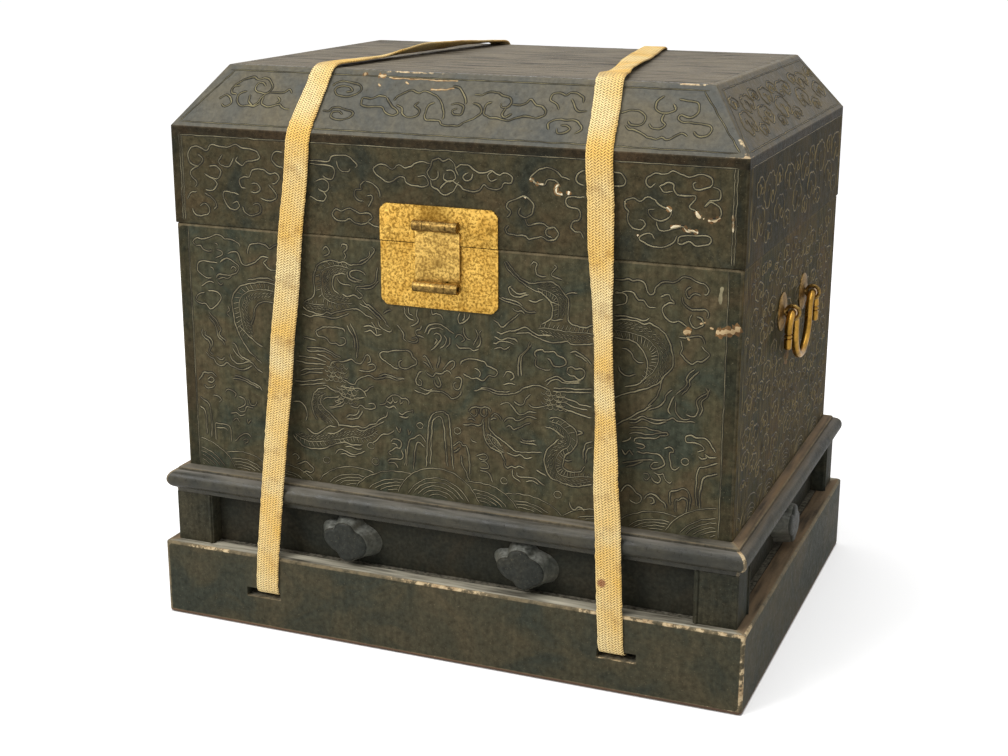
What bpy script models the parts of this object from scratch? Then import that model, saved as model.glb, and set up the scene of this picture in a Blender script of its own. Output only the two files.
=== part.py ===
"""Lacquered travel chest: hipped lid on rear hinges, stepped base, brass lock, bail handles, two straps.

Metres, +Z up. The origin lies on the floor under the middle of the plinth, and the front faces -Y.
Each rail, board or panel that runs round the chest is a profile of (outward, height) points swept
along one side and mitred at both ends, so the four sides always meet at the corners.
"""
import math

import bmesh
import bpy
from mathutils import Matrix, Vector

# Clearances between pieces that touch or run in each other
JOINT_GAP = 0.0003
KNUCKLE_GAP = 0.0004
PIN_CLEARANCE = 0.0003
LIP_CLEARANCE = 0.0005
EYE_CLEARANCE = 0.0006

# Lid
LID_WIDTH = 0.550
LID_DEPTH = 0.401
LID_SKIRT_HEIGHT = 0.0913
LID_RISE = 0.0542
LID_HIP_INSET = 0.0413
LID_WALL = 0.012
LID_TOP_THICKNESS = 0.014
LID_EDGE_CHAMFER = 0.001

# Body of the chest
LID_OVERHANG = 0.001
BODY_HEIGHT = 0.268
FLOOR_THICKNESS = 0.012
RIM_CHAMFER = 0.002
LIP_HEIGHT = 0.006
LIP_THICKNESS = 0.0045

# Plinth, posts and frieze
PLINTH_HEIGHT = 0.0765
PLINTH_OVERHANG = 0.0197
PLINTH_BOARD = 0.018
DECK_THICKNESS = 0.014
WAIST_HEIGHT = 0.050
POST_OVERHANG = 0.0098
POST_SIZE = 0.040
FRIEZE_RECESS = 0.014
FRIEZE_BOARD = 0.014

# Moulding between the waist and the body
MOULDING_HEIGHT = 0.027
MOULDING_PROJECTION = 0.0175
NOSE_RADIUS = 0.0078
NOSE_DROP = 0.0125
NOSE_ARC_DEGREES = (-75, 85)
NOSE_ARC_STEPS = 6
LEDGE_WIDTH = 0.0083
LEDGE_FALL = 0.0024
GROOVE_DEPTH = 0.0008
GROOVE_DROP = 0.0054
UNDERCUT_HEIGHT = 0.0015

# Cloud bosses on the frieze
BOSS_FACE_WIDTH = 0.046
BOSS_FACE_HEIGHT = 0.039
BOSS_BASE_WIDTH = 0.064
BOSS_BASE_HEIGHT = 0.047
BOSS_DEPTH = 0.0195
BOSS_LOBE_DEPTH = 0.20
BOSS_RINGS = 3
BOSS_POINTS = 32
BOSS_INSET = {"left": 0.179, "right": 0.192}

# Brass plates, lock hasp and rear hinges
PLATE_THICKNESS = 0.0016
PLATE_NOTCH = 0.006
NOTCH_STEPS = 4
LOCK_CENTRE_X = -0.0017
LOCK_WIDTH = 0.114
LOCK_UPPER_HEIGHT = 0.0343
LOCK_LOWER_HEIGHT = 0.0585
HASP_WIDTH = 0.043
HASP_PIN_RISE = 0.0175
HASP_DROP = 0.0550
HASP_BARREL_RADIUS = 0.005
HASP_THICKNESS = 0.0018
HASP_PIN_RADIUS = 0.0023
HASP_KNUCKLE = 0.010
HASP_LATCH_KNUCKLE = 0.012
KNUCKLE_WEB = 0.006
WEB_INSET = 0.0004
HINGE_INSET = 0.070
HINGE_WIDTH = 0.056
HINGE_LEAF_HEIGHT = 0.046
HINGE_BARREL_RADIUS = 0.0045
HINGE_PIN_RADIUS = 0.0021
HINGE_KNUCKLE = 0.018
SHOULDER_ROOM = 0.0008
NECK_ROOT = 0.0055
BARREL_SEGMENTS = 20

# Bail handles on the two ends
HANDLE_DROP = 0.0700
EYE_SPACING = 0.090
ROD_RADIUS = 0.0037
ARCH_RADIUS = 0.015
ARCH_STEPS = 8
BAIL_DROP = 0.050
BOW_STEPS = 8
FINIAL_LENGTH = 0.0315
FINIAL_TIP_HEIGHT = 0.0014
FINIAL_TIP_SHARE = 0.62
FINIAL_GROOVE_DEPTH = 0.30
FINIAL_GROOVE_WIDTH = 0.0016
FINIAL_GROOVES = (0.0022, 0.0058)
EYE_WIRE_RADIUS = 0.0019
EYE_WIRE_POINTS = 8
EYE_RING_STEPS = 16
EYE_SINK = 0.0005
SHANK_RADIUS = 0.0024
SHANK_CLEARANCE = 0.0004
CLENCH_LENGTH = 0.026
CLENCH_WIDTH = 0.006
CLENCH_THICKNESS = 0.0016
ROSETTE_RADIUS = 0.018
ROSETTE_RIM = 0.0008
ROSETTE_DOME = 0.0024
ROSETTE_DOME_RADIUS = 0.011
ROSETTE_POINTS = 24
SHANK_SEGMENTS = 12

# Webbing straps: how far in from the lid's end the middle of each strap lies at the slot, at the lid
# shoulder and at the front and rear edges of the lid top
STRAP_WIDTH = 0.026
STRAP_THICKNESS = 0.0020
STRAP_SPLIT_GAP = 0.0006
STRAP_INSET = {
    "left": {"slot": 0.0955, "shoulder": 0.1374, "top_front": 0.150, "top_rear": 0.176},
    "right": {"slot": 0.102, "shoulder": 0.1275, "top_front": 0.144, "top_rear": 0.198},
}
SLOT_SIDE_ROOM = 0.011
SLOT_SHIFT = 0.0045
SLOT_FREE_HEIGHT = 0.0056
SLOT_TOP = 0.0415

# Meshing
MERGE_DISTANCE = 0.000001
SMOOTH_DEGREES = 35

# Sizes worked out from the ones above
LID_HALF = Vector((LID_WIDTH / 2, LID_DEPTH / 2))
BODY_HALF = LID_HALF - Vector((LID_OVERHANG, LID_OVERHANG))
PLINTH_HALF = BODY_HALF + Vector((PLINTH_OVERHANG, PLINTH_OVERHANG))
POST_HALF = BODY_HALF + Vector((POST_OVERHANG, POST_OVERHANG))
FRIEZE_HALF = POST_HALF - Vector((FRIEZE_RECESS, FRIEZE_RECESS))
LID_TOP_HALF = LID_HALF - Vector((LID_HIP_INSET, LID_HIP_INSET))
WAIST_TOP = PLINTH_HEIGHT + WAIST_HEIGHT
MOULDING_BOTTOM = WAIST_TOP + JOINT_GAP
NOSE_Z = MOULDING_BOTTOM + MOULDING_HEIGHT - NOSE_DROP
FLOOR_TOP = WAIST_TOP + JOINT_GAP + FLOOR_THICKNESS
RIM_Z = WAIST_TOP + BODY_HEIGHT
LID_BOTTOM = RIM_Z + JOINT_GAP
SHOULDER_Z = LID_BOTTOM + LID_SKIRT_HEIGHT
LID_TOP_Z = SHOULDER_Z + LID_RISE
LIP_INSET = LID_WALL - LID_OVERHANG + LIP_CLEARANCE
BODY_WALL = LIP_INSET + LIP_THICKNESS
MITRE_TRIM = JOINT_GAP / math.sqrt(2)
SLOT_HEIGHT = STRAP_THICKNESS + SLOT_FREE_HEIGHT
HINGE_AXIS_Y = LID_HALF.y + JOINT_GAP + HINGE_BARREL_RADIUS
HINGE_AXIS_Z = RIM_Z + JOINT_GAP / 2
HINGE_X = LID_HALF.x - HINGE_INSET
HANDLE_HEIGHT = RIM_Z - HANDLE_DROP
LOCK_UPPER_FACE = -(LID_HALF.y + JOINT_GAP + PLATE_THICKNESS)
LOCK_LOWER_FACE = -(BODY_HALF.y + JOINT_GAP + PLATE_THICKNESS)
HASP_AXIS_Y = LOCK_UPPER_FACE - JOINT_GAP - HASP_BARREL_RADIUS
HASP_AXIS_Z = RIM_Z + HASP_PIN_RISE
EYE_RADIUS = ROD_RADIUS + EYE_CLEARANCE + EYE_WIRE_RADIUS
EYE_STANDOFF = JOINT_GAP + ROSETTE_DOME + EYE_RADIUS + EYE_WIRE_RADIUS - EYE_SINK

SIDES = {
    "front": (Vector((0, -1, 0)), Vector((1, 0, 0))),
    "rear": (Vector((0, 1, 0)), Vector((1, 0, 0))),
    "left": (Vector((-1, 0, 0)), Vector((0, 1, 0))),
    "right": (Vector((1, 0, 0)), Vector((0, 1, 0))),
}
ENDS = {"left": -1, "right": 1}
STRAP_X = {
    side: {place: sign * (LID_HALF.x - inset) for place, inset in STRAP_INSET[side].items()}
    for side, sign in ENDS.items()
}


def clear_scene():
    for item in list(bpy.data.objects):
        bpy.data.objects.remove(item, do_unlink=True)


def add_collection(name):
    collection = bpy.data.collections.new(name)
    bpy.context.scene.collection.children.link(collection)
    return collection


def add_material(name, colour, roughness, metallic=0.0):
    material = bpy.data.materials.new(name)
    material.use_nodes = True
    shader = material.node_tree.nodes["Principled BSDF"]
    shader.inputs["Base Color"].default_value = (*colour, 1.0)
    shader.inputs["Roughness"].default_value = roughness
    shader.inputs["Metallic"].default_value = metallic
    return material


clear_scene()
PARTS = add_collection("lacquered_travel_chest")
CUTTERS = add_collection("chest_cutters")
LACQUER = add_material("lacquered_wood", (0.030, 0.030, 0.022), 0.42)
BARE_WOOD = add_material("bare_inner_wood", (0.16, 0.10, 0.055), 0.7)
BRASS = add_material("cast_brass", (0.58, 0.38, 0.12), 0.38, 1.0)
WEBBING = add_material("cotton_webbing", (0.56, 0.43, 0.22), 0.9)


def add_axis(name, place):
    """An empty on a joint's axis, which carries the pieces that turn about it."""
    axis = bpy.data.objects.new(name, None)
    axis.location = place
    PARTS.objects.link(axis)
    return axis


def hold(part, holder):
    """Hang a part that is modelled in place on an empty, without moving it."""
    if holder is not None:
        part.parent = holder
        part.location = part.location - holder.location
    return part


def add_part(name, bm, material, holder=None):
    bmesh.ops.recalc_face_normals(bm, faces=bm.faces)
    mesh = bpy.data.meshes.new(name)
    bm.to_mesh(mesh)
    bm.free()
    mesh.materials.append(material)
    part = bpy.data.objects.new(name, mesh)
    PARTS.objects.link(part)
    return hold(part, holder)


def add_tool(part, bm, operation):
    """Cut a shape out of a part, or fuse it on, with a Boolean that stays on the part."""
    bmesh.ops.recalc_face_normals(bm, faces=bm.faces)
    mesh = bpy.data.meshes.new(f"{part.name}_tool")
    bm.to_mesh(mesh)
    bm.free()
    tool = bpy.data.objects.new(mesh.name, mesh)
    tool.hide_render = True
    tool.display_type = "WIRE"
    CUTTERS.objects.link(tool)
    modifier = part.modifiers.new(operation.lower(), "BOOLEAN")
    modifier.operation = operation
    modifier.solver = "EXACT"
    modifier.object = tool


def cut(part, bm):
    add_tool(part, bm, "DIFFERENCE")


def fuse(part, bm):
    add_tool(part, bm, "UNION")


def shade_round(part):
    part.data.shade_smooth()
    part.data.set_sharp_from_angle(angle=math.radians(SMOOTH_DEGREES))


def box(low, high):
    bm = bmesh.new()
    low, high = Vector(low), Vector(high)
    bmesh.ops.create_cube(bm, size=1.0)
    bmesh.ops.scale(bm, vec=high - low, verts=bm.verts)
    bmesh.ops.translate(bm, vec=(low + high) / 2, verts=bm.verts)
    return bm


def cylinder(centre, radius, length, segments=BARREL_SEGMENTS):
    """A round bar along X."""
    bm = bmesh.new()
    turn = Matrix.Translation(centre) @ Matrix.Rotation(math.pi / 2, 4, "Y")
    bmesh.ops.create_cone(bm, cap_ends=True, segments=segments, radius1=radius, radius2=radius,
                          depth=length, matrix=turn)
    return bm


def barrel(x_from, x_to, y, z, radius):
    return cylinder(Vector(((x_from + x_to) / 2, y, z)), radius, x_to - x_from)


def plate(outline, y_from, y_to):
    """A flat plate in the XZ plane: one outlined face, pulled through its thickness."""
    bm = bmesh.new()
    face = bm.faces.new([bm.verts.new((x, y_from, z)) for x, z in outline])
    grown = bmesh.ops.extrude_face_region(bm, geom=[face])["geom"]
    moved = [item for item in grown if isinstance(item, bmesh.types.BMVert)]
    bmesh.ops.translate(bm, vec=(0, y_to - y_from, 0), verts=moved)
    return bm


def mitred_rail(name, side, profile, half, material, holder=None):
    """Sweep a profile of (outward, height) points along one side and mitre both ends."""
    outward, along = SIDES[side]
    reach = half.y if outward.y else half.x
    span = half.x if outward.y else half.y
    bm = bmesh.new()
    ring = []
    for out, height in profile:
        place = outward * (reach + out) - along * (span + out - MITRE_TRIM)
        ring.append(bm.verts.new((place.x, place.y, height)))
    grown = bmesh.ops.extrude_face_region(bm, geom=[bm.faces.new(ring)])["geom"]
    for vert in grown:
        if isinstance(vert, bmesh.types.BMVert):
            vert.co -= 2 * along * vert.co.dot(along)
    return add_part(name, bm, material, holder)


def surround(name, profile, half, material, holder=None):
    """The four mitred rails of one profile, by side."""
    return {side: mitred_rail(name.format(side), side, profile, half, material, holder) for side in SIDES}


# Base: plinth boards, deck, corner posts, frieze boards and bosses

def build_plinth():
    profile = [(0, 0), (0, PLINTH_HEIGHT), (-PLINTH_BOARD, PLINTH_HEIGHT), (-PLINTH_BOARD, 0)]
    boards = surround("plinth_{}_board", profile, PLINTH_HALF, LACQUER)
    for side, facing in (("front", -1), ("rear", 1)):
        for strap in STRAP_X.values():
            centre = strap["slot"] + math.copysign(SLOT_SHIFT, strap["slot"])
            half_width = (STRAP_WIDTH + SLOT_SIDE_ROOM) / 2
            y_middle = facing * (PLINTH_HALF.y - PLINTH_BOARD / 2)
            low = (centre - half_width, y_middle - PLINTH_BOARD, SLOT_TOP - SLOT_HEIGHT)
            high = (centre + half_width, y_middle + PLINTH_BOARD, SLOT_TOP)
            cut(boards[side], box(low, high))
    reach = PLINTH_HALF - Vector((PLINTH_BOARD + JOINT_GAP, PLINTH_BOARD + JOINT_GAP))
    low = (-reach.x, -reach.y, PLINTH_HEIGHT - DECK_THICKNESS)
    add_part("base_deck", box(low, (reach.x, reach.y, PLINTH_HEIGHT)), BARE_WOOD)


def build_posts():
    for y_name, y_sign in (("front", -1), ("rear", 1)):
        for x_name, x_sign in ENDS.items():
            outer = Vector((x_sign * POST_HALF.x, y_sign * POST_HALF.y))
            inner = outer - Vector((x_sign * POST_SIZE, y_sign * POST_SIZE))
            low = (min(outer.x, inner.x), min(outer.y, inner.y), PLINTH_HEIGHT + JOINT_GAP)
            high = (max(outer.x, inner.x), max(outer.y, inner.y), WAIST_TOP)
            add_part(f"corner_post_{y_name}_{x_name}", box(low, high), LACQUER)


def build_frieze():
    bottom, top = PLINTH_HEIGHT + JOINT_GAP, WAIST_TOP
    for side, (outward, along) in SIDES.items():
        reach = FRIEZE_HALF.y if outward.y else FRIEZE_HALF.x
        span = (POST_HALF.x if outward.y else POST_HALF.y) - POST_SIZE - JOINT_GAP
        outer = outward * reach + along * span
        inner = outward * (reach - FRIEZE_BOARD) - along * span
        low = (min(outer.x, inner.x), min(outer.y, inner.y), bottom)
        high = (max(outer.x, inner.x), max(outer.y, inner.y), top)
        add_part(f"frieze_{side}_board", box(low, high), LACQUER)


def pulled_disc(points, lifts):
    """A round face in the XY plane pulled up along Z in steps of (height, radius)."""
    bm = bmesh.new()
    bmesh.ops.create_circle(bm, cap_ends=True, segments=points, radius=lifts[0][1])
    bmesh.ops.translate(bm, vec=(0, 0, lifts[0][0]), verts=bm.verts)
    face = bm.faces[:][0]
    for step, (lower, upper) in enumerate(zip(lifts, lifts[1:])):
        grown = bmesh.ops.extrude_face_region(bm, geom=[face])["geom"]
        if step:
            bmesh.ops.delete(bm, geom=[face], context="FACES_ONLY")
        moved = [item for item in grown if isinstance(item, bmesh.types.BMVert)]
        share = upper[1] / lower[1]
        bmesh.ops.scale(bm, vec=(share, share, 1), verts=moved)
        bmesh.ops.translate(bm, vec=(0, 0, upper[0] - lower[0]), verts=moved)
        face = next(item for item in grown if isinstance(item, bmesh.types.BMFace))
    return bm


def boss(name, side, shift):
    """A four-lobed cloud boss whose flank flares out to a wider foot on the frieze."""
    outward, along = SIDES[side]
    reach = (FRIEZE_HALF.y if outward.y else FRIEZE_HALF.x) + JOINT_GAP
    middle = (PLINTH_HEIGHT + JOINT_GAP + WAIST_TOP) / 2
    bm = pulled_disc(BOSS_POINTS, [(ring / BOSS_RINGS, 1.0) for ring in range(BOSS_RINGS + 1)])
    for vert in bm.verts:
        angle = math.atan2(vert.co.y, vert.co.x)
        share = vert.co.z
        flare = (1 - share) ** 2
        width = BOSS_FACE_WIDTH + (BOSS_BASE_WIDTH - BOSS_FACE_WIDTH) * flare
        height = BOSS_FACE_HEIGHT + (BOSS_BASE_HEIGHT - BOSS_FACE_HEIGHT) * flare
        lobe = 1 - BOSS_LOBE_DEPTH * (1 - abs(math.cos(2 * angle)))
        place = outward * (reach + BOSS_DEPTH * share)
        place += along * (shift + width / 2 * lobe * math.cos(angle))
        vert.co = (place.x, place.y, middle + height / 2 * lobe * math.sin(angle))
    add_part(name, bm, LACQUER)


def build_bosses():
    for side in ("front", "rear"):
        for place, sign in ENDS.items():
            boss(f"cloud_boss_{side}_{place}", side, sign * (LID_HALF.x - BOSS_INSET[place]))
    for side in ENDS:
        boss(f"cloud_boss_{side}", side, 0.0)


# Moulding and body

def moulding_profile():
    """Ledge, groove, half-round nose and a step that comes down flush with the posts."""
    top = MOULDING_BOTTOM + MOULDING_HEIGHT
    nose_out = MOULDING_PROJECTION - NOSE_RADIUS
    start, end = (math.radians(angle) for angle in NOSE_ARC_DEGREES)
    nose = []
    for step in range(NOSE_ARC_STEPS + 1):
        angle = start + (end - start) * step / NOSE_ARC_STEPS
        nose.append((nose_out + NOSE_RADIUS * math.cos(angle), NOSE_Z + NOSE_RADIUS * math.sin(angle)))
    step_top = nose[0][1] - UNDERCUT_HEIGHT
    foot = [(JOINT_GAP, MOULDING_BOTTOM), (POST_OVERHANG, MOULDING_BOTTOM), (POST_OVERHANG, step_top)]
    groove = (LEDGE_WIDTH + GROOVE_DEPTH, top - GROOVE_DROP)
    ledge = [(LEDGE_WIDTH, top - LEDGE_FALL), (JOINT_GAP, top)]
    return foot + nose + [groove] + ledge


def build_body():
    surround("moulding_{}_rail", moulding_profile(), BODY_HALF, LACQUER)
    low = (-BODY_HALF.x, -BODY_HALF.y, WAIST_TOP + JOINT_GAP)
    add_part("body_floor", box(low, (BODY_HALF.x, BODY_HALF.y, FLOOR_TOP)), BARE_WOOD)
    bottom = FLOOR_TOP + JOINT_GAP
    profile = [
        (0, bottom),
        (0, RIM_Z - RIM_CHAMFER),
        (-RIM_CHAMFER, RIM_Z),
        (-LIP_INSET, RIM_Z),
        (-LIP_INSET, RIM_Z + LIP_HEIGHT),
        (-BODY_WALL, RIM_Z + LIP_HEIGHT),
        (-BODY_WALL, bottom),
    ]
    return surround("body_{}_wall", profile, BODY_HALF, LACQUER)


# Lid

def build_lid(lid_axis):
    skirt = [
        (0, LID_BOTTOM + LID_EDGE_CHAMFER),
        (0, SHOULDER_Z - JOINT_GAP),
        (-LID_WALL, SHOULDER_Z - JOINT_GAP),
        (-LID_WALL, LID_BOTTOM),
        (-LID_EDGE_CHAMFER, LID_BOTTOM),
    ]
    surround("lid_{}_skirt", skirt, LID_HALF, LACQUER, lid_axis)
    upper_out = JOINT_GAP - LID_HIP_INSET
    upper_z = SHOULDER_Z - upper_out * LID_RISE / LID_HIP_INSET
    slope = [
        (0, SHOULDER_Z),
        (upper_out, upper_z),
        (upper_out, LID_TOP_Z - LID_TOP_THICKNESS),
        (-LID_WALL, SHOULDER_Z),
    ]
    surround("lid_{}_slope", slope, LID_HALF, LACQUER, lid_axis)
    low = (-LID_TOP_HALF.x, -LID_TOP_HALF.y, LID_TOP_Z - LID_TOP_THICKNESS)
    add_part("lid_top_panel", box(low, (LID_TOP_HALF.x, LID_TOP_HALF.y, LID_TOP_Z)), LACQUER, lid_axis)


# Lock plates and hasp

def notched_outline(x_centre, width, z_square, z_notched):
    """A plate outline whose far corners are bitten away by a quarter round."""
    half = width / 2
    away = math.copysign(1, z_notched - z_square)
    points = [(x_centre + half, z_square)]
    for side in (1, -1):
        corner = []
        for step in range(NOTCH_STEPS + 1):
            angle = math.pi / 2 * step / NOTCH_STEPS
            across = half - PLATE_NOTCH * math.sin(angle)
            along = z_notched - away * PLATE_NOTCH * math.cos(angle)
            corner.append((x_centre + side * across, along))
        points += corner if side > 0 else corner[::-1]
    points.append((x_centre - half, z_square))
    return points


def fixed_knuckle(part, x_from, x_to, face_y, axis_y, axis_z):
    """A barrel that stands on a lock plate by a cast web."""
    sign = math.copysign(1, axis_y - face_y)
    root = face_y - sign * PLATE_THICKNESS / 2
    low = (x_from + WEB_INSET, min(root, axis_y), axis_z - KNUCKLE_WEB / 2)
    fuse(part, box(low, (x_to - WEB_INSET, max(root, axis_y), axis_z + KNUCKLE_WEB / 2)))
    fuse(part, barrel(x_from, x_to, axis_y, axis_z, HASP_BARREL_RADIUS))


def build_lock(lid_axis, hasp_axis):
    left = LOCK_CENTRE_X - HASP_WIDTH / 2
    right = LOCK_CENTRE_X + HASP_WIDTH / 2
    latch_z = HASP_AXIS_Z - HASP_DROP
    bore = HASP_PIN_RADIUS + PIN_CLEARANCE

    outline = notched_outline(LOCK_CENTRE_X, LOCK_WIDTH, LID_BOTTOM + JOINT_GAP, RIM_Z + LOCK_UPPER_HEIGHT)
    body = plate(outline, LOCK_UPPER_FACE, LOCK_UPPER_FACE + PLATE_THICKNESS)
    upper = add_part("lock_plate_upper", body, BRASS, lid_axis)
    for x_from, x_to in ((left, left + HASP_KNUCKLE), (right - HASP_KNUCKLE, right)):
        fixed_knuckle(upper, x_from, x_to, LOCK_UPPER_FACE, HASP_AXIS_Y, HASP_AXIS_Z)
    cut(upper, barrel(left - bore, right + bore, HASP_AXIS_Y, HASP_AXIS_Z, bore))

    outline = notched_outline(LOCK_CENTRE_X, LOCK_WIDTH, RIM_Z - JOINT_GAP, RIM_Z - LOCK_LOWER_HEIGHT)
    body = plate(outline, LOCK_LOWER_FACE, LOCK_LOWER_FACE + PLATE_THICKNESS)
    lower = add_part("lock_plate_lower", body, BRASS)
    fixed_knuckle(lower, right - HASP_LATCH_KNUCKLE, right, LOCK_LOWER_FACE, HASP_AXIS_Y, latch_z)
    cut(lower, barrel(left, right + bore, HASP_AXIS_Y, latch_z, bore))

    room = HASP_BARREL_RADIUS + SHOULDER_ROOM
    back = HASP_AXIS_Y + HASP_BARREL_RADIUS
    front = back - HASP_THICKNESS
    neck = (left + HASP_KNUCKLE + KNUCKLE_GAP, right - HASP_KNUCKLE - KNUCKLE_GAP)
    roll = (left, right - HASP_LATCH_KNUCKLE - KNUCKLE_GAP)
    body = box((left, front, latch_z + room), (right, back, HASP_AXIS_Z - room))
    flap = add_part("hasp_flap", body, BRASS, hasp_axis)
    low = (neck[0] + WEB_INSET, front, HASP_AXIS_Z - room - NECK_ROOT)
    fuse(flap, box(low, (neck[1] - WEB_INSET, back, HASP_AXIS_Z)))
    fuse(flap, barrel(*neck, HASP_AXIS_Y, HASP_AXIS_Z, HASP_BARREL_RADIUS))
    low = (roll[0] + WEB_INSET, front, latch_z)
    fuse(flap, box(low, (roll[1] - WEB_INSET, back, latch_z + room + NECK_ROOT)))
    fuse(flap, barrel(*roll, HASP_AXIS_Y, latch_z, HASP_BARREL_RADIUS))
    cut(flap, barrel(left, right, HASP_AXIS_Y, HASP_AXIS_Z, bore))
    cut(flap, barrel(left - bore, right, HASP_AXIS_Y, latch_z, bore))

    pin = barrel(left, right, HASP_AXIS_Y, HASP_AXIS_Z, HASP_PIN_RADIUS)
    shade_round(add_part("hasp_pin", pin, BRASS, lid_axis))


# Rear hinges

def build_hinge(side, x_centre, lid_axis):
    left, right = x_centre - HINGE_WIDTH / 2, x_centre + HINGE_WIDTH / 2
    bore = HINGE_PIN_RADIUS + PIN_CLEARANCE
    room = HINGE_BARREL_RADIUS + SHOULDER_ROOM
    middle = (left + HINGE_KNUCKLE + KNUCKLE_GAP, right - HINGE_KNUCKLE - KNUCKLE_GAP)

    inner = LID_HALF.y + JOINT_GAP
    outline = notched_outline(x_centre, HINGE_WIDTH, HINGE_AXIS_Z + room, HINGE_AXIS_Z + HINGE_LEAF_HEIGHT)
    leaf = plate(outline, inner, inner + PLATE_THICKNESS)
    upper = add_part(f"hinge_{side}_upper_leaf", leaf, BRASS, lid_axis)
    low = (middle[0], inner, LID_BOTTOM)
    fuse(upper, box(low, (middle[1], inner + PLATE_THICKNESS, HINGE_AXIS_Z + room + NECK_ROOT)))
    fuse(upper, barrel(*middle, HINGE_AXIS_Y, HINGE_AXIS_Z, HINGE_BARREL_RADIUS))
    cut(upper, barrel(left, right, HINGE_AXIS_Y, HINGE_AXIS_Z, bore))

    inner = BODY_HALF.y + JOINT_GAP
    outer = inner + PLATE_THICKNESS + LID_OVERHANG
    outline = notched_outline(x_centre, HINGE_WIDTH, HINGE_AXIS_Z - room, HINGE_AXIS_Z - HINGE_LEAF_HEIGHT)
    lower = add_part(f"hinge_{side}_lower_leaf", plate(outline, inner, inner + PLATE_THICKNESS), BRASS)
    for x_from, x_to in ((left, left + HINGE_KNUCKLE), (right - HINGE_KNUCKLE, right)):
        low = (x_from, inner, HINGE_AXIS_Z - room - NECK_ROOT)
        fuse(lower, box(low, (x_to, outer, RIM_Z - JOINT_GAP)))
        fuse(lower, barrel(x_from, x_to, HINGE_AXIS_Y, HINGE_AXIS_Z, HINGE_BARREL_RADIUS))
    cut(lower, barrel(left - bore, right + bore, HINGE_AXIS_Y, HINGE_AXIS_Z, bore))

    pin = barrel(left, right, HINGE_AXIS_Y, HINGE_AXIS_Z, HINGE_PIN_RADIUS)
    shade_round(add_part(f"hinge_{side}_pin", pin, BRASS))


# Handles

def bail_centreline():
    """Points (y, z, radius share) of the bent rod, from one finial's tip to the other's, about the eyes."""
    finial_y = EYE_SPACING / 2 + ARCH_RADIUS
    leg_y = EYE_SPACING / 2 - ARCH_RADIUS
    waist = 1 - FINIAL_GROOVE_DEPTH
    half = [(-finial_y, -FINIAL_LENGTH, FINIAL_TIP_SHARE)]
    half.append((-finial_y, FINIAL_TIP_HEIGHT - FINIAL_LENGTH, 1.0))
    for drop in sorted(FINIAL_GROOVES, reverse=True):
        for shift, share in ((-1, 1.0), (-0.5, waist), (0.5, waist), (1, 1.0)):
            z = shift * FINIAL_GROOVE_WIDTH / 2 - ARCH_RADIUS - drop
            half.append((-finial_y, z, share))
    for step in range(ARCH_STEPS + 1):
        angle = math.pi * (1 - step / ARCH_STEPS)
        y = -EYE_SPACING / 2 + ARCH_RADIUS * math.cos(angle)
        half.append((y, ARCH_RADIUS * (math.sin(angle) - 1), 1.0))
    for step in range(BOW_STEPS):
        angle = math.pi / 2 * step / BOW_STEPS
        half.append((-leg_y * math.cos(angle), leg_y * (1 - math.sin(angle)) - BAIL_DROP, 1.0))
    bottom = [(0.0, -BAIL_DROP, 1.0)]
    return half + bottom + [(-y, z, share) for y, z, share in reversed(half)]


def build_handle(side, sign, wall):
    wall_x = sign * BODY_HALF.x
    axis_x = wall_x + sign * EYE_STANDOFF
    curve = bpy.data.curves.new(f"handle_{side}_bail", "CURVE")
    curve.dimensions = "3D"
    curve.bevel_depth = ROD_RADIUS
    curve.bevel_resolution = 2
    curve.use_fill_caps = True
    points = bail_centreline()
    spline = curve.splines.new("POLY")
    spline.points.add(len(points) - 1)
    for point, (y, z, share) in zip(spline.points, points):
        point.co = (0, y, z, 1)
        point.radius = share
    curve.materials.append(BRASS)
    bail = bpy.data.objects.new(curve.name, curve)
    bail.location = (axis_x, 0, HANDLE_HEIGHT)
    PARTS.objects.link(bail)

    shank_hole = SHANK_RADIUS + SHANK_CLEARANCE
    inside_x = wall_x - sign * (BODY_WALL + JOINT_GAP)
    clench_x = inside_x - sign * CLENCH_THICKNESS
    shank_end = (inside_x + clench_x) / 2
    shank_start = axis_x - sign * EYE_RADIUS
    for place, y in (("front", -EYE_SPACING / 2), ("rear", EYE_SPACING / 2)):
        ring = torus(Vector((axis_x, y, HANDLE_HEIGHT)), EYE_RADIUS, EYE_WIRE_RADIUS)
        eye = add_part(f"handle_{side}_{place}_eye", ring, BRASS)
        seat = Matrix.Translation((wall_x + sign * JOINT_GAP, y, HANDLE_HEIGHT))
        fuse(eye, rosette(seat @ Matrix.Rotation(sign * math.pi / 2, 4, "Y")))
        middle = Vector(((shank_start + shank_end) / 2, y, HANDLE_HEIGHT))
        fuse(eye, cylinder(middle, SHANK_RADIUS, abs(shank_start - shank_end), SHANK_SEGMENTS))
        low = Vector((min(inside_x, clench_x), y - CLENCH_WIDTH / 2, HANDLE_HEIGHT - CLENCH_LENGTH / 2))
        high = Vector((max(inside_x, clench_x), y + CLENCH_WIDTH / 2, HANDLE_HEIGHT + CLENCH_LENGTH / 2))
        fuse(eye, box(low, high))
        through = Vector((wall_x - sign * BODY_WALL / 2, y, HANDLE_HEIGHT))
        cut(wall, cylinder(through, shank_hole, 2 * BODY_WALL, SHANK_SEGMENTS))


def torus(centre, radius, wire):
    """A ring about the Y axis: a circle of wire spun round its centre."""
    bm = bmesh.new()
    start = Matrix.Translation(centre + Vector((radius, 0, 0)))
    section = bmesh.ops.create_circle(bm, segments=EYE_WIRE_POINTS, radius=wire, matrix=start)["verts"]
    edges = list({edge for vert in section for edge in vert.link_edges})
    bmesh.ops.spin(bm, geom=section + edges, cent=centre, axis=(0, 1, 0), angle=2 * math.pi,
                   steps=EYE_RING_STEPS, use_merge=True, use_duplicate=False)
    bmesh.ops.remove_doubles(bm, verts=bm.verts, dist=MERGE_DISTANCE)
    return bm


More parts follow.
